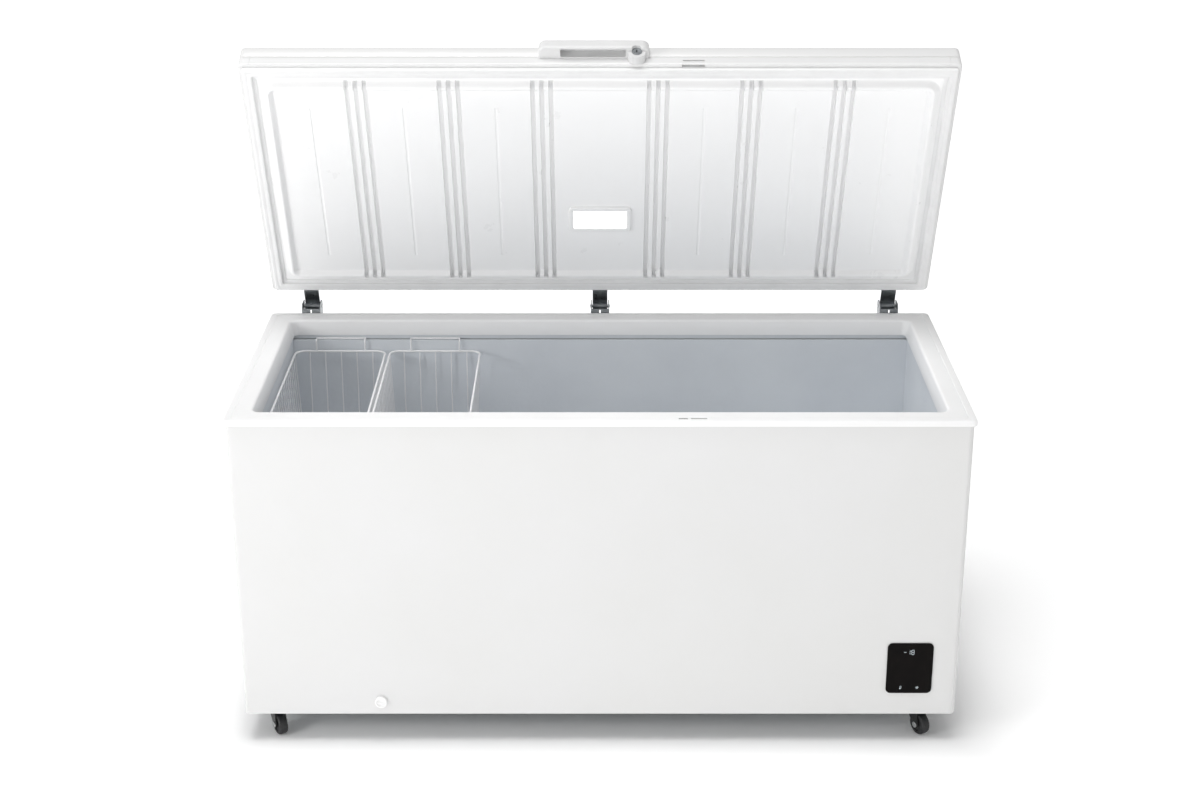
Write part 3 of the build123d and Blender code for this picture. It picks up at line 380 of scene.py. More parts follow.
def bentPath(corners, radius, count=6):
    # straight runs with each inner corner turned into an arc that touches both runs
    corners = np.array(corners, float)
    path = [corners[:1]]
    for before, here, after in zip(corners, corners[1:], corners[2:]):
        a, b = before - here, after - here
        a, b = a / np.linalg.norm(a), b / np.linalg.norm(b)
        half = math.acos(float(np.clip(a @ b, -1, 1))) / 2
        middle = (a + b) / np.linalg.norm(a + b)
        centre = here + middle * radius / math.sin(half)
        start = here + a * radius / math.tan(half)
        u = (start - centre) / radius
        w = (here - centre) / np.linalg.norm(here - centre)
        v = w - (w @ u) * u
        v = v / np.linalg.norm(v)
        turn = np.linspace(0, math.pi - 2 * half, count)[:, None]
        path.append(centre + radius * (np.cos(turn) * u + np.sin(turn) * v))
    path.append(corners[-1:])
    return np.concatenate(path)


def tubePart(path, radius, sides=8, closed=False, binormal=None):
    # a circle carried along the path, with one fixed direction across a flat bend
    if closed:
        ahead, behind = np.roll(path, -1, 0), np.roll(path, 1, 0)
    else:
        ahead = np.concatenate([path[1:], path[-1:]])
        behind = np.concatenate([path[:1], path[:-1]])
    tangent = ahead - behind
    tangent = tangent / np.linalg.norm(tangent, axis=1)[:, None]
    across = np.array(binormal, float)
    side = np.cross(across, tangent)
    side = side / np.linalg.norm(side, axis=1)[:, None]
    up = np.cross(tangent, side)
    angle = np.linspace(0, 2 * np.pi, sides, endpoint=False)
    ring = np.cos(angle)[None, :, None] * side[:, None] + np.sin(angle)[None, :, None] * up[:, None]
    return gridPart(path[:, None] + radius * ring, wrapU=closed, wrapV=True, caps=not closed)


def turnedPart(profile, centre, axis, across, sides=40, caps=True):
    # a profile of (distance along the axis, radius) turned about the axis
    axis, across = np.array(axis, float), np.array(across, float)
    third = np.cross(axis, across)
    angle = np.linspace(0, 2 * np.pi, sides, endpoint=False)
    ring = np.cos(angle)[:, None] * across + np.sin(angle)[:, None] * third
    profile = np.array(profile, float)
    points = (np.array(centre, float) + profile[:, 0][:, None, None] * axis
              + profile[:, 1][:, None, None] * ring[None])
    return gridPart(points, wrapV=True, caps=caps, wrapU=not caps)


def cleanCopy(node, name, finish, sharpDegrees=30, bevelMm=0.0):
    # the CAD shape with its loose triangles merged, flat faces joined and edges eased
    source = frame["nodes"][node]
    shape = bmesh.new()
    shape.from_mesh(source.data)
    bmesh.ops.remove_doubles(shape, verts=shape.verts, dist=0.00001)
    bmesh.ops.dissolve_limit(shape, angle_limit=math.radians(0.5), verts=shape.verts,
                             edges=shape.edges)
    mesh = bpy.data.meshes.new(name)
    shape.to_mesh(mesh)
    shape.free()
    shaded(mesh, sharpDegrees)
    piece = putDown(name, mesh)
    mesh.materials.append(finishOf[finish])
    if bevelMm:
        ease = piece.modifiers.new("ease", "BEVEL")
        ease.width, ease.segments, ease.limit_method = bevelMm * mm, 2, "ANGLE"
        ease.angle_limit = math.radians(40)
        ease.harden_normals = False
    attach(piece, source["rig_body"])
    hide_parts(node)
    return piece


def cutBy(piece, parts):
    # takes the parts' volume out of the piece, once, and keeps the result as its mesh
    cutter = putDown("cutter", joinParts("cutter", parts))
    bpy.context.view_layer.update()
    cut = piece.modifiers.new("cut", "BOOLEAN")
    cut.object, cut.operation, cut.solver = cutter, "DIFFERENCE", "EXACT"
    result = bpy.data.meshes.new_from_object(
        piece.evaluated_get(bpy.context.evaluated_depsgraph_get()))
    piece.modifiers.clear()
    old = piece.data
    result.name = old.name
    piece.data = result
    bpy.data.meshes.remove(old)
    bpy.data.objects.remove(cutter)
    shaded(piece.data, 38)


def boxPart(low, high, place=None):
    # a block as two square rows with caps; place maps its points if given
    (x0, y0, z0), (x1, y1, z1) = low, high
    square = np.array([(x0, y0), (x1, y0), (x1, y1), (x0, y1)], float)
    rows = np.stack([np.column_stack([square, np.full(4, z)]) for z in (z0, z1)])
    return gridPart(rows if place is None else place(rows), wrapV=True, caps=True)


# the frame's own measures
def boxMm(node):
    low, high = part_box(node)
    return np.array(low) / mm, np.array(high) / mm


hinge = next(j for j in frame["joints"] if j["name"] == "lid_hinge")
openAngle = math.radians(-hinge["range_deg"][0])
alongLid = np.array([0, -math.cos(openAngle), math.sin(openAngle)])  # from its rear edge forwards
upLid = np.array([0, math.sin(openAngle), math.cos(openAngle)])  # from its inner plane outwards
railPoints = np.array([v.co for v in frame["nodes"]["lid_rails"].data.vertices]) / mm
lidStart = alongLid * (railPoints @ alongLid).min() + upLid * (railPoints @ upLid).min()
lidHalf = float(boxMm("lid_rails")[1][0])
lidLength = float((railPoints @ alongLid).max() - (railPoints @ alongLid).min())


def onLid(points):
    # (x, s, t): s from the lid's rear edge forwards, t from its inner plane outwards
    x, s, t = points[..., 0:1], points[..., 1:2], points[..., 2:3]
    return lidStart + x * np.array([1.0, 0, 0]) + s * alongLid + t * upLid


def lidLoops(rows, perCorner=8):
    # loops about the lid's middle, rows of (inset, corner radius, t)
    grid = loopRows(lidHalf, lidLength / 2, rows, perCorner)
    grid[..., 1] += lidLength / 2
    return onLid(grid)


collarLow, collarHigh = boxMm("collar_frame")
collarTop = float(collarHigh[2])
collarHalf = float(collarHigh[0])
collarDepth = float(collarHigh[1] - collarLow[1])
collarMiddle = float(collarHigh[1] + collarLow[1]) / 2
frontY = float(collarLow[1])
print("lid", round(lidHalf * 2), "x", round(lidLength), "open", round(math.degrees(openAngle), 1))

# collar
collar = {"lip": 13, "edge": 4, "cornerOut": 12, "grooveAt": 18, "grooveWide": 2.2, "grooveDeep": 1.1,
          "rim": 54, "ease": 7, "skirt": 35, "lean": 10, "wall": 4, "openingRadius": 22}


def collarProfile():
    # out over the lip, across the rim with its fine groove, round the eased edge, down the
    # leaning throat, and back underneath at the wall's thickness: (inset, corner radius, z)
    c = collar
    slope = math.atan2(c["lean"], c["skirt"])
    reach = c["ease"] * math.tan((math.pi / 2 - slope) / 2)
    easing = arc(c["rim"] - reach, -c["ease"], c["ease"], 90, math.degrees(slope), 7)
    nose = arc(c["edge"], -c["edge"], c["edge"], 180, 90, 6)
    g, w = c["grooveAt"], c["grooveWide"] / 2
    outline = [(0, -c["lip"]), (0, -c["lip"] + 0.6)] + nose.tolist()
    outline += [(g - w - 0.3, 0), (g - w, -0.3), (g - w + 0.4, -c["grooveDeep"]),
                (g + w - 0.4, -c["grooveDeep"]), (g + w, -0.3), (g + w + 0.3, 0)]
    outline += [(34, 0)] + easing.tolist()
    outline += [(c["rim"] + c["lean"] - 0.3, -c["skirt"] + 1), (c["rim"] + c["lean"] - 0.6, -c["skirt"]),
                (c["rim"] + c["lean"] - c["wall"] + 0.5, -c["skirt"])]
    outline += [(c["rim"] - c["wall"] - 1, -c["wall"] - 3), (c["rim"] - c["wall"] - 5, -c["wall"]),
                (5, -c["wall"]), (3, -c["wall"] - 2), (3, -c["lip"])]
    inset = np.array([p[0] for p in outline], float)
    radius = np.interp(inset, [0, 8, 20, 50, 54, 64], [c["cornerOut"], 6, 6, 20, c["openingRadius"], 13])
    return [(a, r, z) for a, r, z in zip(inset, radius, [p[1] for p in outline])]


grid = loopRows(collarHalf, collarDepth / 2, collarProfile(), 9)
grid[..., 1] += collarMiddle
grid[..., 2] += collarTop
collarPiece = addPiece("collar", [gridPart(grid, wrapU=True, wrapV=True)], "mouldedAbs", "cabinet",
                       ["collar_frame"], 30)
slots = {"keeper": (193, 228), "sensor": (167, 187), "y": (11.4, 16.6), "deep": 10}
cutBy(collarPiece, [boxPart((low, frontY + slots["y"][0], collarTop - slots["deep"]),
                            (high, frontY + slots["y"][1], collarTop + 3))
                    for low, high in (slots["keeper"], slots["sensor"])])
print("collar done")

# lid: skin, rails, corner pieces
lidEdge = {"thick": 64, "border": 28, "round": 6, "corner": 12, "sheet": 1.0,
           "railRound": 4, "cornerLong": 26, "jointGap": 0.35}


def lidSkinRows():
    # inner face, hem, side, eased edge and outer face of the folded sheet
    e = lidEdge
    outer = [(e["round"] - e["round"] * math.cos(a), e["thick"] - e["round"] + e["round"] * math.sin(a))
             for a in np.radians(np.linspace(0, 90, 7))]
    inner = [(e["sheet"] + max(d - 0.2, 0), t - e["sheet"]) for d, t in outer]
    low = e["border"] - 1
    rows = [(d, t) for d, t in reversed(inner)] + [(e["sheet"], low + 0.3), (e["sheet"] * 0.75, low),
                                                  (0.25, low), (0, low + 0.3)] + outer + [(30, e["thick"])]
    rows = [(30, e["thick"] - e["sheet"])] + rows
    return [(d, max(e["corner"] - d, 5.0), t) for d, t in rows]


addPiece("lid_outer_skin", [gridPart(lidLoops(lidSkinRows(), 9), wrapV=True, caps=True)],
         "dimmedPrePaintedSteel", "lid", ["lid_skin"], 40)


def railRing():
    # section of the rail as (inset from the lid's edge, t), with a shadow gap under the sheet
    e = lidEdge
    lip = arc(e["railRound"], e["railRound"], e["railRound"], 180, 270, 6).tolist()
    return np.array([(8.8, 27.6), (1.6, 27.6), (1.6, 26.2), (0.5, 26.2), (0.1, 25.8), (0.0, 25.0),
                     (0.0, 9.0), (0.25, 8.2), (0.0, 7.4)] + lip + [(8.0, 0.0), (8.8, 0.8)])


def straightRail(start, end, outward):
    # the section carried from start to end; outward points from the lid to its edge
    section = railRing()
    ends = np.array([start, end], float)
    flat = ends[:, None, :] - section[None, :, 0:1] * np.array(outward, float)
    grid = np.concatenate([flat, np.broadcast_to(section[None, :, 1:2], flat.shape[:2] + (1,))], -1)
    return gridPart(onLid(grid), wrapV=True, caps=True)


def cornerPiece(signX, atFront):
    # the same section carried round the corner; the rails stop a little short of it
    e = lidEdge
    section = railRing()
    cx = signX * (lidHalf - e["corner"])
    cy = lidLength - e["corner"] if atFront else e["corner"]
    signY = 1 if atFront else -1
    turn = np.radians(np.linspace(0, 90, 10))
    run = e["cornerLong"] - e["corner"]
    centre = np.array([(cx, cy - signY * run)] + [(cx, cy)] * 10 + [(cx - signX * run, cy)])
    angle = np.concatenate([[0], turn, [math.pi / 2]])
    way = np.stack([signX * np.cos(angle), signY * np.sin(angle)], -1)
    flat = centre[:, None] + way[:, None] * (e["corner"] - section[None, :, 0:1])
    grid = np.concatenate([flat, np.broadcast_to(section[None, :, 1:2], flat.shape[:2] + (1,))], -1)
    return gridPart(onLid(grid), wrapV=True, caps=True)


reach, long = lidHalf, lidEdge["cornerLong"] + lidEdge["jointGap"]
rails = [straightRail((-reach + long, lidLength), (reach - long, lidLength), (0, 1)),
         straightRail((-reach + long, 0), (reach - long, 0), (0, -1)),
         straightRail((-reach, long), (-reach, lidLength - long), (-1, 0)),
         straightRail((reach, long), (reach, lidLength - long), (1, 0))]
railPiece = addPiece("lid_edge_rails", rails, "extrudedPvc", "lid", ["lid_rails"], 34)
# the hook swings in a room behind the front wall, which has a window through it
hookRoom = {"x": (181, 232), "back": 10, "wall": 2.4, "t": (-1, 25)}
hookWindow = {"x": (183, 231), "t": (10.5, 14.5)}
cutBy(railPiece, [boxPart((hookRoom["x"][0], lidLength - hookRoom["back"], hookRoom["t"][0]),
                          (hookRoom["x"][1], lidLength - hookRoom["wall"], hookRoom["t"][1]), onLid)])
cutBy(railPiece, [boxPart((hookWindow["x"][0], lidLength - hookRoom["wall"] - 1, hookWindow["t"][0]),
                          (hookWindow["x"][1], lidLength + 2, hookWindow["t"][1]), onLid)])
addPiece("lid_corner_pieces", [cornerPiece(sx, front) for sx in (-1, 1) for front in (False, True)],
         "extrudedPvc", "lid", ["lid_corners"], 34)

# lid gasket: bulb with bellows, and the flange that tucks under the panel
gasket = [(9.4, -0.1), (9.9, -2.0), (9.1, -3.4), (9.1, -6.4), (9.6, -8.6), (11.0, -9.6), (14.0, -9.7),
          (18.6, -9.7), (19.5, -9.25), (20.4, -9.7), (26.0, -9.7), (28.6, -9.5), (29.8, -8.2),
          (29.9, -6.4), (28.9, -4.6), (29.2, -3.3), (31.0, -3.0), (36.8, -3.0), (37.8, -2.4), (37.8, -0.1)]
addPiece("lid_seal", [gridPart(lidLoops([(d, 3.0, t) for d, t in gasket], 5), wrapU=True, wrapV=True)],
         "softPvc", "lid", ["lid_gasket"], 50)

# lid inner panel: a height over (x, s) worked out from the distance to the edge
panel = {"strip": 9.2, "base": 44, "outer": 56, "inner": 62, "field": 70, "ring": 14, "fieldUp": 3,
         "groupAt": (-544, -337, -130, 130, 337, 544), "pitch": 20.3, "wide": 9, "floor": -6,
         "fineAt": (-649, -441, -234, 234, 441, 649), "fine": 5, "fineDeep": 1.0,
         "fineFrom": 120, "cornerRadius": 14, "fineStep": 1.8, "step": 24}


def panelLines(low, high, edges, fromEdge, toEdge):
    # grid lines: sparse in the open, close together near both rims and across each groove edge
    p = panel
    close = np.arange(fromEdge, toEdge, p["fineStep"])
    lines = [np.arange(low, high, p["step"]), low + close, high - close, [low, high]]
    lines += [np.array(edges)[:, None] + np.array([-1.6, -1.0, -0.4, 0.2, 0.8, 1.4])[None, :]]
    lines = np.unique(np.round(np.concatenate([np.ravel(x) for x in lines]), 2))
    lines = lines[(lines >= low) & (lines <= high)]
    keep = np.concatenate([[True], np.diff(lines) > 0.35])
    return lines[keep]


def softBox(value, centre, half, ease):
    # one inside the band, zero outside it, with a smooth step on each side
    step = np.clip((half - np.abs(value - centre)) / ease + 0.5, 0, 1)
    return step * step * (3 - 2 * step)


def panelHeight(x, s):
    # height towards the cabinet: the ring by distance from a rounded rectangle, averaged over
    # 2 mm to round its edges; grooves then pull it down to their floor
    p = panel
    halfX, halfS = lidHalf - p["inner"], lidLength / 2 - p["inner"]
    qx = np.abs(x) - (halfX - p["cornerRadius"])
    qs = np.abs(s - lidLength / 2) - (halfS - p["cornerRadius"])
    outside = np.hypot(np.maximum(qx, 0), np.maximum(qs, 0)) + np.minimum(np.maximum(qx, qs), 0)
    inset = p["inner"] + p["cornerRadius"] - outside
    stops = [0, p["base"], p["outer"], p["inner"], p["field"], 5000]
    heights = [0, 0, p["ring"], p["ring"], p["fieldUp"], p["fieldUp"]]
    height = sum(np.interp(inset + shift, stops, heights) for shift in np.linspace(-1.3, 1.3, 5)) / 5
    along = np.clip((lidLength / 2 - p["base"] - np.abs(s - lidLength / 2)) / 3.0, 0, 1)
    along = along * along * (3 - 2 * along)
    for centre in p["groupAt"]:
        for turn in (-1, 0, 1):
            band = softBox(x, centre + turn * p["pitch"], p["wide"] / 2, 1.6) * along
            height = height * (1 - band) + p["floor"] * band
    length = lidLength / 2 - p["fineFrom"]
    for centre in p["fineAt"]:
        band = softBox(x, centre, p["fine"] / 2, 1.8) * softBox(s, lidLength / 2, length, 3)
        height = height - p["fineDeep"] * band
    return height


grooveEdges = [c + k * panel["pitch"] + side * panel["wide"] / 2
               for c in panel["groupAt"] for k in (-1, 0, 1) for side in (-1, 1)]
grooveEdges += [c + side * panel["fine"] / 2 for c in panel["fineAt"] for side in (-1, 1)]
xs = panelLines(-lidHalf + panel["strip"], lidHalf - panel["strip"], grooveEdges, 28, 84)
ss = panelLines(panel["strip"], lidLength - panel["strip"],
                [panel["fineFrom"], lidLength - panel["fineFrom"]], 28, 84)
gridX, gridS = np.meshgrid(xs, ss, indexing="ij")
gridT = -panelHeight(gridX, gridS)
panelGrid = onLid(np.stack([gridX, gridS, gridT], -1))
addPiece("lid_inner_panel", [gridPart(panelGrid, facing=-upLid, back=upLid * 9)],
         "brightenedFormedPolystyrene", "lid", ["lid_liner"], 60)
print("lid panel grid", gridX.shape)

# lamp in the lid
lamp = {"at": 235, "wide": 147, "tall": 75, "low": -3, "high": -10, "corner": 12, "rim": 11,
        "ribPitch": 4.2, "ribDeep": 0.45, "crown": 1.6, "lensAt": -7.2, "lensThick": 2.4}


def lampLoops(rows):
    grid = loopRows(lamp["wide"] / 2, lamp["tall"] / 2, rows, 8)
    grid[..., 1] += lamp["at"]
    return onLid(grid)


bezelEdge = arc(3, lamp["high"] + 3, 3, 180, 270, 6)
bezelRows = [(0, lamp["low"]), (0, -5)] + bezelEdge.tolist() + [
    (8.6, -10), (10.0, -9.7), (10.7, -8.8), (11.2, -6.5), (11.2, lamp["low"])]
addPiece("lamp_frame", [gridPart(lampLoops([(d, max(lamp["corner"] - d, 3), t) for d, t in bezelRows]),
                                 wrapU=True, wrapV=True)],
         "mouldedAbs", "lid", ["lamp_bezel"])
lampX, lampS = lamp["wide"] / 2, lamp["tall"] / 2
lensX = np.linspace(-lampX + lamp["rim"], lampX - lamp["rim"], 220)
lensS = np.linspace(-lampS + lamp["rim"], lampS - lamp["rim"], 24)
u, v = np.meshgrid(lensX, lensS, indexing="ij")
crown = (1 - (u / lampX) ** 2) * (1 - (v / lampS) ** 2) * lamp["crown"]
ribs = np.abs(((u / lamp["ribPitch"]) % 1) - 0.5) * 2 * lamp["ribDeep"]  # triangular prisms across x
lensGrid = onLid(np.stack([u, v + lamp["at"], lamp["lensAt"] - crown - ribs], -1))
addPiece("lamp_lens_ribbed", [gridPart(lensGrid, facing=-upLid, back=upLid * lamp["lensThick"])],
         "opalLens", "lid", ["lamp_lens"], 25)
print("lid done")

# wire baskets
basketWire = {"rim": 2.5, "thin": 1.5, "hanger": 2.0, "corner": 22, "hoops": 20, "runners": 5,
              "depth": 210, "inset": 50, "taper": 10, "bend": 9, "hang": 15, "spread": 0.7}


def basketParts(node):
    # the rim is a closed loop; hoops hang from it and cross under; hangers reach the ledge
    low, high = boxMm(node)
    w = basketWire
    wall = w["hang"] + w["hanger"]
    left, right = float(low[0]) + w["rim"], float(high[0]) - w["rim"]
    front, back = float(low[1]) + wall, float(high[1]) - wall
    topHang = float(high[2]) - w["hanger"]
    rimZ = float(low[2]) + w["depth"] + w["thin"]
    halfX, halfY = (right - left) / 2, (back - front) / 2
    centre = np.array([(left + right) / 2, (front + back) / 2])
    loop = cornerLoop(halfX, halfY, 0, w["corner"], 9) + centre
    rim = np.column_stack([loop, np.full(len(loop), rimZ)])
    parts = [tubePart(rim, w["rim"], 12, True, (0, 0, 1))]
    bottom = rimZ - w["depth"]
    for y in np.linspace(front + w["corner"], back - w["corner"], w["hoops"]):
        corners = [(left, y, rimZ), (left + w["taper"], y, bottom), (right - w["taper"], y, bottom),
                   (right, y, rimZ)]
        parts.append(tubePart(bentPath(corners, w["bend"]), w["thin"], 8, False, (0, 1, 0)))
    for x in np.linspace(centre[0] - halfX * w["spread"], centre[0] + halfX * w["spread"], w["runners"]):
        corners = [(x, front, rimZ), (x, front + 8, bottom + 2.4), (x, back - 8, bottom + 2.4),
                   (x, back, rimZ)]
        parts.append(tubePart(bentPath(corners, w["bend"]), w["thin"], 8, False, (1, 0, 0)))
    xs = (left + w["inset"] - w["rim"] + 2.5, right - w["inset"] + w["rim"] - 2.5)
    for wallY, ledgeY in ((front, front - w["hang"]), (back, back + w["hang"])):
        legs = [bentPath([(x, wallY, rimZ), (x, wallY, topHang), (x, ledgeY, topHang)], 5) for x in xs]
        parts += [tubePart(leg, w["hanger"], 10, False, (1, 0, 0)) for leg in legs]
        bar = np.array([(xs[0] - 1.5, ledgeY, topHang), (xs[1] + 1.5, ledgeY, topHang)])
        parts.append(tubePart(bar, w["hanger"], 10, False, (0, 0, 1)))
    return parts


for node in ("basket_left", "basket_right"):  # each node's body has the same name
    addPiece(node + "_wire", basketParts(node), "coatedWire", node, [node], 50)
print("baskets done")

# springs in the hinge bases: a helix with closed end turns
spring = {"wire": 1.7, "turns": 15, "perTurn": 28, "closed": 0.06}
springLow, springHigh = boxMm("hinge_springs")
springMiddleY = float(springLow[1] + springHigh[1]) / 2
springRadius = float(springHigh[1] - springLow[1]) / 2
springEnds = (float(springLow[2]) + spring["wire"], float(springHigh[2]) - spring["wire"])
hingeReach = float(springHigh[0]) - springRadius


def springPart(x, low, high, radius):
    # height rises evenly with the angle, but hardly at all in the first and last turn
    share = np.linspace(0, 1, spring["turns"] * spring["perTurn"])
    rise = np.clip((share - spring["closed"]) / (1 - 2 * spring["closed"]), 0, 1)
    rise = rise * 0.94 + share * 0.06
    angle = share * spring["turns"] * 2 * np.pi
    path = np.stack([x + radius * np.cos(angle), springMiddleY + radius * np.sin(angle),
                     low + (high - low) * rise], -1)
    return tubePart(path, spring["wire"], 8, False, (0, 0, 1))


addPiece("hinge_coil_springs",
         [springPart(x, *springEnds, springRadius - spring["wire"]) for x in (-hingeReach, 0.0, hingeReach)],
         "phosphatedSteel", "cabinet", ["hinge_springs"], 60)

# drain cap: a turned cap with an eased rim and a dish with a grip bar across it
cap = {"rim": 13.5, "stem": 5.9, "deep": 14, "tall": 8.4, "dish": 9.6, "floor": 6.4, "proud": 8.7,
       "bar": (1.3, 9.2, 7.9)}  # half width, half length and height of the grip bar
capLow, capHigh = boxMm("drain_cap")
capCentre = (float(capLow[0] + capHigh[0]) / 2, float(capLow[1]) + cap["proud"],
             float(capLow[2] + capHigh[2]) / 2)
capProfile = [(-cap["deep"], 0.3), (-cap["deep"], cap["stem"] - 0.6), (0.6 - cap["deep"], cap["stem"]),
              (0, cap["stem"]), (0, cap["rim"] - 0.4), (0.4, cap["rim"])]
capProfile += [(cap["tall"] - 2 + 2 * math.sin(a), cap["rim"] - 2 + 2 * math.cos(a))
               for a in np.radians(np.linspace(0, 90, 6))]
capProfile += [(cap["tall"], cap["dish"] + 0.6), (cap["tall"] - 0.5, cap["dish"]),
               (cap["floor"] + 0.5, cap["dish"] - 0.4), (cap["floor"], cap["dish"] - 1), (cap["floor"], 0.3)]
capCx, capCy, capCz = capCentre
barHalf, barLong, barTop = cap["bar"]
addPiece("drain_cap_turned",
         [turnedPart(capProfile, capCentre, (0, -1, 0), (1, 0, 0), 56),
          boxPart((capCx - barLong, capCy - barTop, capCz - barHalf),
                  (capCx + barLong, capCy - cap["floor"] + 0.3, capCz + barHalf))],
         "mouldedAbs", "drain_cap", ["drain_cap"], 40)

# marks on the control glass: thin ink bars, with a generic reading and two symbols
glassLow, glassHigh = boxMm("control_glass")
ink = {"proud": 0.12, "stroke": 1.0, "tall": 11.0, "wide": 5.6, "readingDown": 22, "symbolsUp": 14}


def inkBar(x, z, long, wide, turn=0.0):
    # a flat bar whose long side lies at the angle turn from the x direction
    c, q = math.cos(math.radians(turn)), math.sin(math.radians(turn))
    corners = np.array([(-long, -wide), (long, -wide), (long, wide), (-long, wide)]) / 2
    along, across = corners[:, 0], corners[:, 1]
    face = np.stack([x + along * c - across * q, z + along * q + across * c], -1)
    y = float(glassLow[1])
    rows = np.stack([np.column_stack([face[:, 0], np.full(4, depth), face[:, 1]])
                     for depth in (y - ink["proud"], y + 0.3)])
    return gridPart(rows, wrapV=True, caps=True)


def inkDigit(x, z, lit):
    # seven bars in the usual places, from the top one clockwise, the middle one last
    w, h, k = ink["wide"], ink["tall"], ink["stroke"]
    places = [(0, h / 2, 0), (w / 2, h / 4, 90), (w / 2, -h / 4, 90), (0, -h / 2, 0), (-w / 2, -h / 4, 90),
              (-w / 2, h / 4, 90), (0, 0, 0)]
    bars = [places[i] for i in lit]
    return [inkBar(x + right, z + up, (h / 2 if turn else w) - k * 1.2, k, turn) for right, up, turn in bars]


glassMiddle = float(glassLow[0] + glassHigh[0]) / 2
readingZ = float(glassHigh[2]) - ink["readingDown"]
symbolZ = float(glassLow[2]) + ink["symbolsUp"]
marks = [inkBar(glassMiddle - 12, readingZ, 5, ink["stroke"])]
marks += inkDigit(glassMiddle - 4, readingZ, (1, 2)) + inkDigit(glassMiddle + 5, readingZ, range(7))
bulbX, starX = glassMiddle - 19, glassMiddle + 19
marks += [inkBar(bulbX, symbolZ + 1.6, 5.6, 1.0, 90), inkBar(bulbX, symbolZ - 2.2, 2.6, 2.6, 45)]
marks += [inkBar(bulbX + 2.6, symbolZ + z, 1.6, 0.5) for z in (0, 1.6, 3.2)]
marks += [inkBar(starX, symbolZ, 7.2, 0.7, turn) for turn in (0, 60, 120)]
for turn in range(0, 360, 60):  # a short bar across each arm of the star
    c, q = math.cos(math.radians(turn)), math.sin(math.radians(turn))
    marks.append(inkBar(starX + 2.4 * c, symbolZ + 2.4 * q, 1.9, 0.5, turn + 90))
addPiece("control_marks", marks, "printedInk", "cabinet")
print("small pieces done")

# carried-over shapes, merged, with the width in millimetres of their eased edges
eased = {
    "outer_wrap": 0.0, "base_pan": 0.0, "rear_panel": 0.0, "machine_cover": 0.0, "vent_grille": 0.3,
    "lid_handle": 0.6, "lock_cylinder": 0.3, "hinge_bases": 0.5, "hinge_leaves": 0.4,
    "hinge_pins": 0.4, "hinge_screws": 0.4, "caster_plates": 0.4,
    "control_glass": 0.4, "inner_drain_plug": 0.3, "inner_liner": 0.0,
    "compressor": 0.0, "cord_gland": 0.3, "latch_keeper": 0.0, "lid_sensor": 0.2,
}
for corner in ("front_left", "front_right", "rear_left", "rear_right"):
    eased["caster_fork_" + corner] = 0.3
    eased["caster_wheel_" + corner] = 0.0
    eased["caster_axle_" + corner] = 0.3
# the keeper and sensor under the slots take the painted slot shade
special = {"lid_handle": "greyMouldedAbs", "lock_cylinder": "zincPlatedSteel", "latch_keeper": "paintedSlotShade",
           "lid_sensor": "paintedSlotShade"}
for node, bevel in eased.items():
    finish = special.get(node, slotFinish[slotOf[node]])
    cleanCopy(node, node + "_made", finish, 32, bevel)
for node, shown in frame["nodes"].items():  # what stays as the CAD has it
    if not shown.hide_render:
        shown.data.materials.clear()
        shown.data.materials.append(finishOf[slotFinish[slotOf[node]]])
print("carried over:", sorted(n for n, o in frame["nodes"].items() if not o.hide_render))

# floor, light and camera
studio = {"floor": 60.0, "sky": 0.36, "key": 56.0, "fill": 12.0, "top": 270.0, "lift": 0.66,
          "shadedNearLift": 0.30, "horizon": 1.02}
lights = {  # where each stands, what it points at, its sides in metres and its watts
    "key_left": ((-3.6, -2.9, 2.2), (0, 0, 0.9), (1.2, 1.2), studio["key"]),
    "fill_low": ((-1.8, -4.4, 0.5), (0, 0, 1.2), (2.4, 0.6), studio["fill"]),
    "top_soft": ((-0.8, -1.0, 7.4), (0, 0, 0.7), (4.0, 3.0), studio["top"]),
}
floorMesh = bpy.data.meshes.new("studio_floor")
half = studio["floor"]
floorMesh.from_pydata([(-half, -half, 0), (half, -half, 0), (half, half, 0), (-half, half, 0)], [],
                      [(0, 1, 2, 3)])
putDown("studio_floor", floorMesh)
paper = bpy.data.materials.new("studioPaper")
paper.use_nodes = True
paper.node_tree.nodes.clear()
paperPlace = addNode(paper, "ShaderNodeTexCoord")
paperGrain = addNode(paper, "ShaderNodeTexNoise", {"Scale": 1.2}, {"Vector": paperPlace.outputs["Object"]})
paperTone = addNode(paper, "ShaderNodeValToRGB", None, {"Fac": paperGrain.outputs["Fac"]})
paperTone.color_ramp.elements[0].color = linearHex("f9f9f9")
paperTone.color_ramp.elements[1].color = linearHex("fdfdfd")
# the paper glows so that it stays white far from the lamps; the glow is held low beside the cabinet and cut
# off under it, which paints the shadow under and around the cabinet darker: it goes by the distance outside
# the footprint
where = addNode(paper, "ShaderNodeSeparateXYZ", None, {"Vector": paperPlace.outputs["Object"]})
sides = []
for axis, middle, reach in ((0, 0.0, collarHalf - 20), (1, collarMiddle, collarDepth / 2 - 20)):
    shifted = addNode(paper, "ShaderNodeMath", {"operation": "SUBTRACT", 1: middle * mm},
                      {0: where.outputs[axis]})
    size = addNode(paper, "ShaderNodeMath", {"operation": "ABSOLUTE"}, {0: shifted.outputs[0]})
    sides.append(addNode(paper, "ShaderNodeMath", {"operation": "SUBTRACT", 1: reach * mm},
                         {0: size.outputs[0]}).outputs[0])
outside = addNode(paper, "ShaderNodeMath", {"operation": "MAXIMUM"}, {0: sides[0], 1: sides[1]})
# painted shadow: no glow under the cabinet's footprint
paintedShadowMask = addNode(paper, "ShaderNodeMapRange",
                    {"From Min": -0.10, "From Max": 0.22, "interpolation_type": "SMOOTHSTEP"},
                    {"Value": outside.outputs[0]})
# painted shade: the glow beside the cabinet is kept low and rises slowly with distance
glowDimmedNearCabinet = addNode(paper, "ShaderNodeMapRange",
                   {"From Min": 0.2, "From Max": 4.0, "To Min": studio["shadedNearLift"],
                    "To Max": studio["lift"]}, {"Value": outside.outputs[0]})
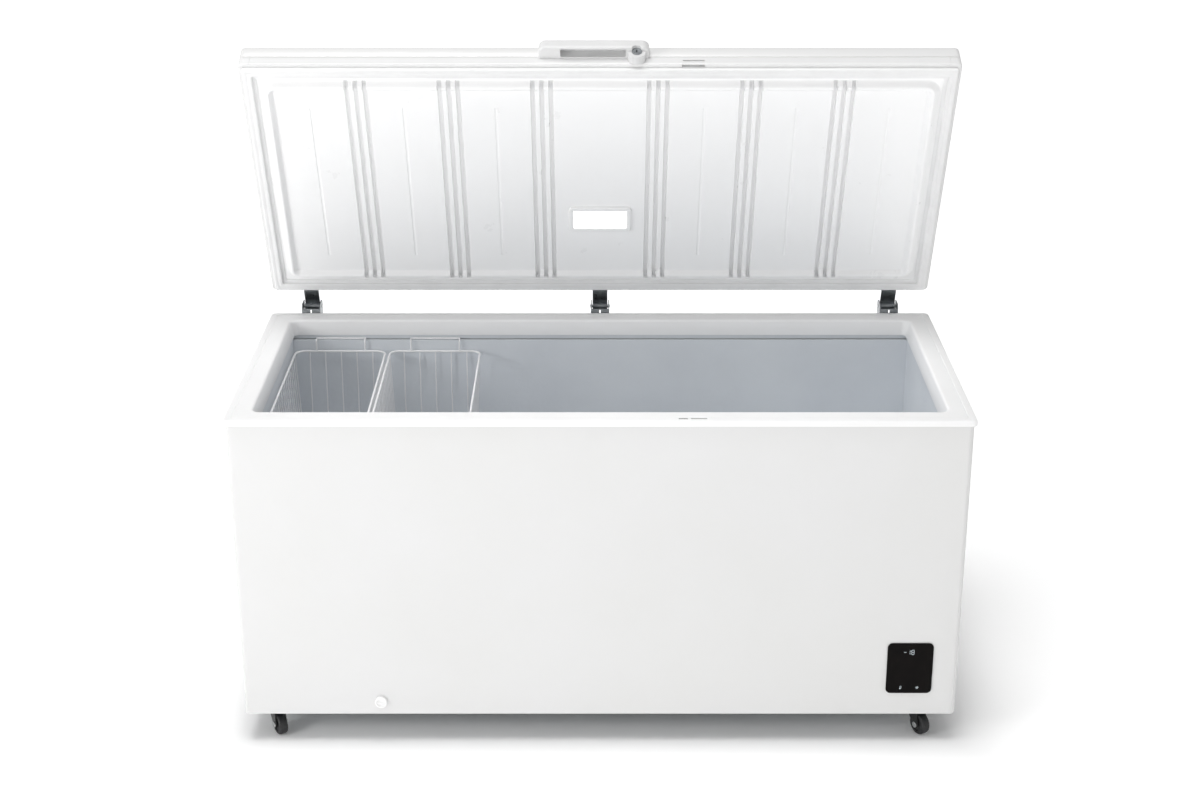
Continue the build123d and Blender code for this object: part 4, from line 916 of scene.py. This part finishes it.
paperGlowAndShadow = addNode(paper, "ShaderNodeMath", {"operation": "MULTIPLY"},
                    {0: paintedShadowMask.outputs["Result"], 1: glowDimmedNearCabinet.outputs["Result"]})
paperShader = addNode(paper, "ShaderNodeBsdfPrincipled",
                      {"Roughness": 0.9, "Specular IOR Level": 0.1, "Emission Color": (1, 1, 1, 1)},
                      {"Base Color": paperTone.outputs["Color"],
                       "Emission Strength": paperGlowAndShadow.outputs[0]})
addNode(paper, "ShaderNodeOutputMaterial", None, {"Surface": paperShader.outputs["BSDF"]})
floorMesh.materials.append(paper)

sky = bpy.data.worlds.new("studio_sky")
bpy.context.scene.world = sky
sky.use_nodes = True
sky.node_tree.nodes["Background"].inputs["Color"].default_value = (1, 1, 1, 1)
# the sky is white at the horizon, so that it joins the paper, and dimmer above
skyPlace = addNode(sky, "ShaderNodeTexCoord")
skyWay = addNode(sky, "ShaderNodeSeparateXYZ", None, {"Vector": skyPlace.outputs["Generated"]})
skyGlow = addNode(sky, "ShaderNodeMapRange",
                  {"From Min": 0.03, "From Max": 0.26, "To Min": studio["horizon"],
                   "To Max": studio["sky"],
                   "interpolation_type": "SMOOTHSTEP"}, {"Value": skyWay.outputs["Z"]})
sky.node_tree.links.new(skyGlow.outputs["Result"], sky.node_tree.nodes["Background"].inputs["Strength"])


def addLight(name, spot, target, size, power):
    lamp = bpy.data.lights.new(name, "AREA")
    lamp.shape, lamp.size, lamp.size_y, lamp.energy = "RECTANGLE", size[0], size[1], power
    holder = putDown(name, lamp)
    holder.location = spot
    holder.rotation_euler = (Vector(target) - Vector(spot)).to_track_quat("-Z", "Y").to_euler()


for name, (spot, target, size, power) in lights.items():
    addLight(name, spot, target, size, power)

view = bpy.data.cameras.new("front_camera")
view.lens, view.sensor_width, view.clip_end = 60.0, 36.0, 200.0
view.shift_y = -0.0167
camera = putDown("front_camera", view)
camera.location = (0.0, frontY * mm - 3.920, collarTop * mm + 1.602)
camera.rotation_euler = (math.radians(90 - 21.05), 0, 0)
bpy.context.scene.camera = camera
bpy.context.scene.view_settings.view_transform = "Standard"
bpy.context.scene.view_settings.look = "None"
print("studio done")
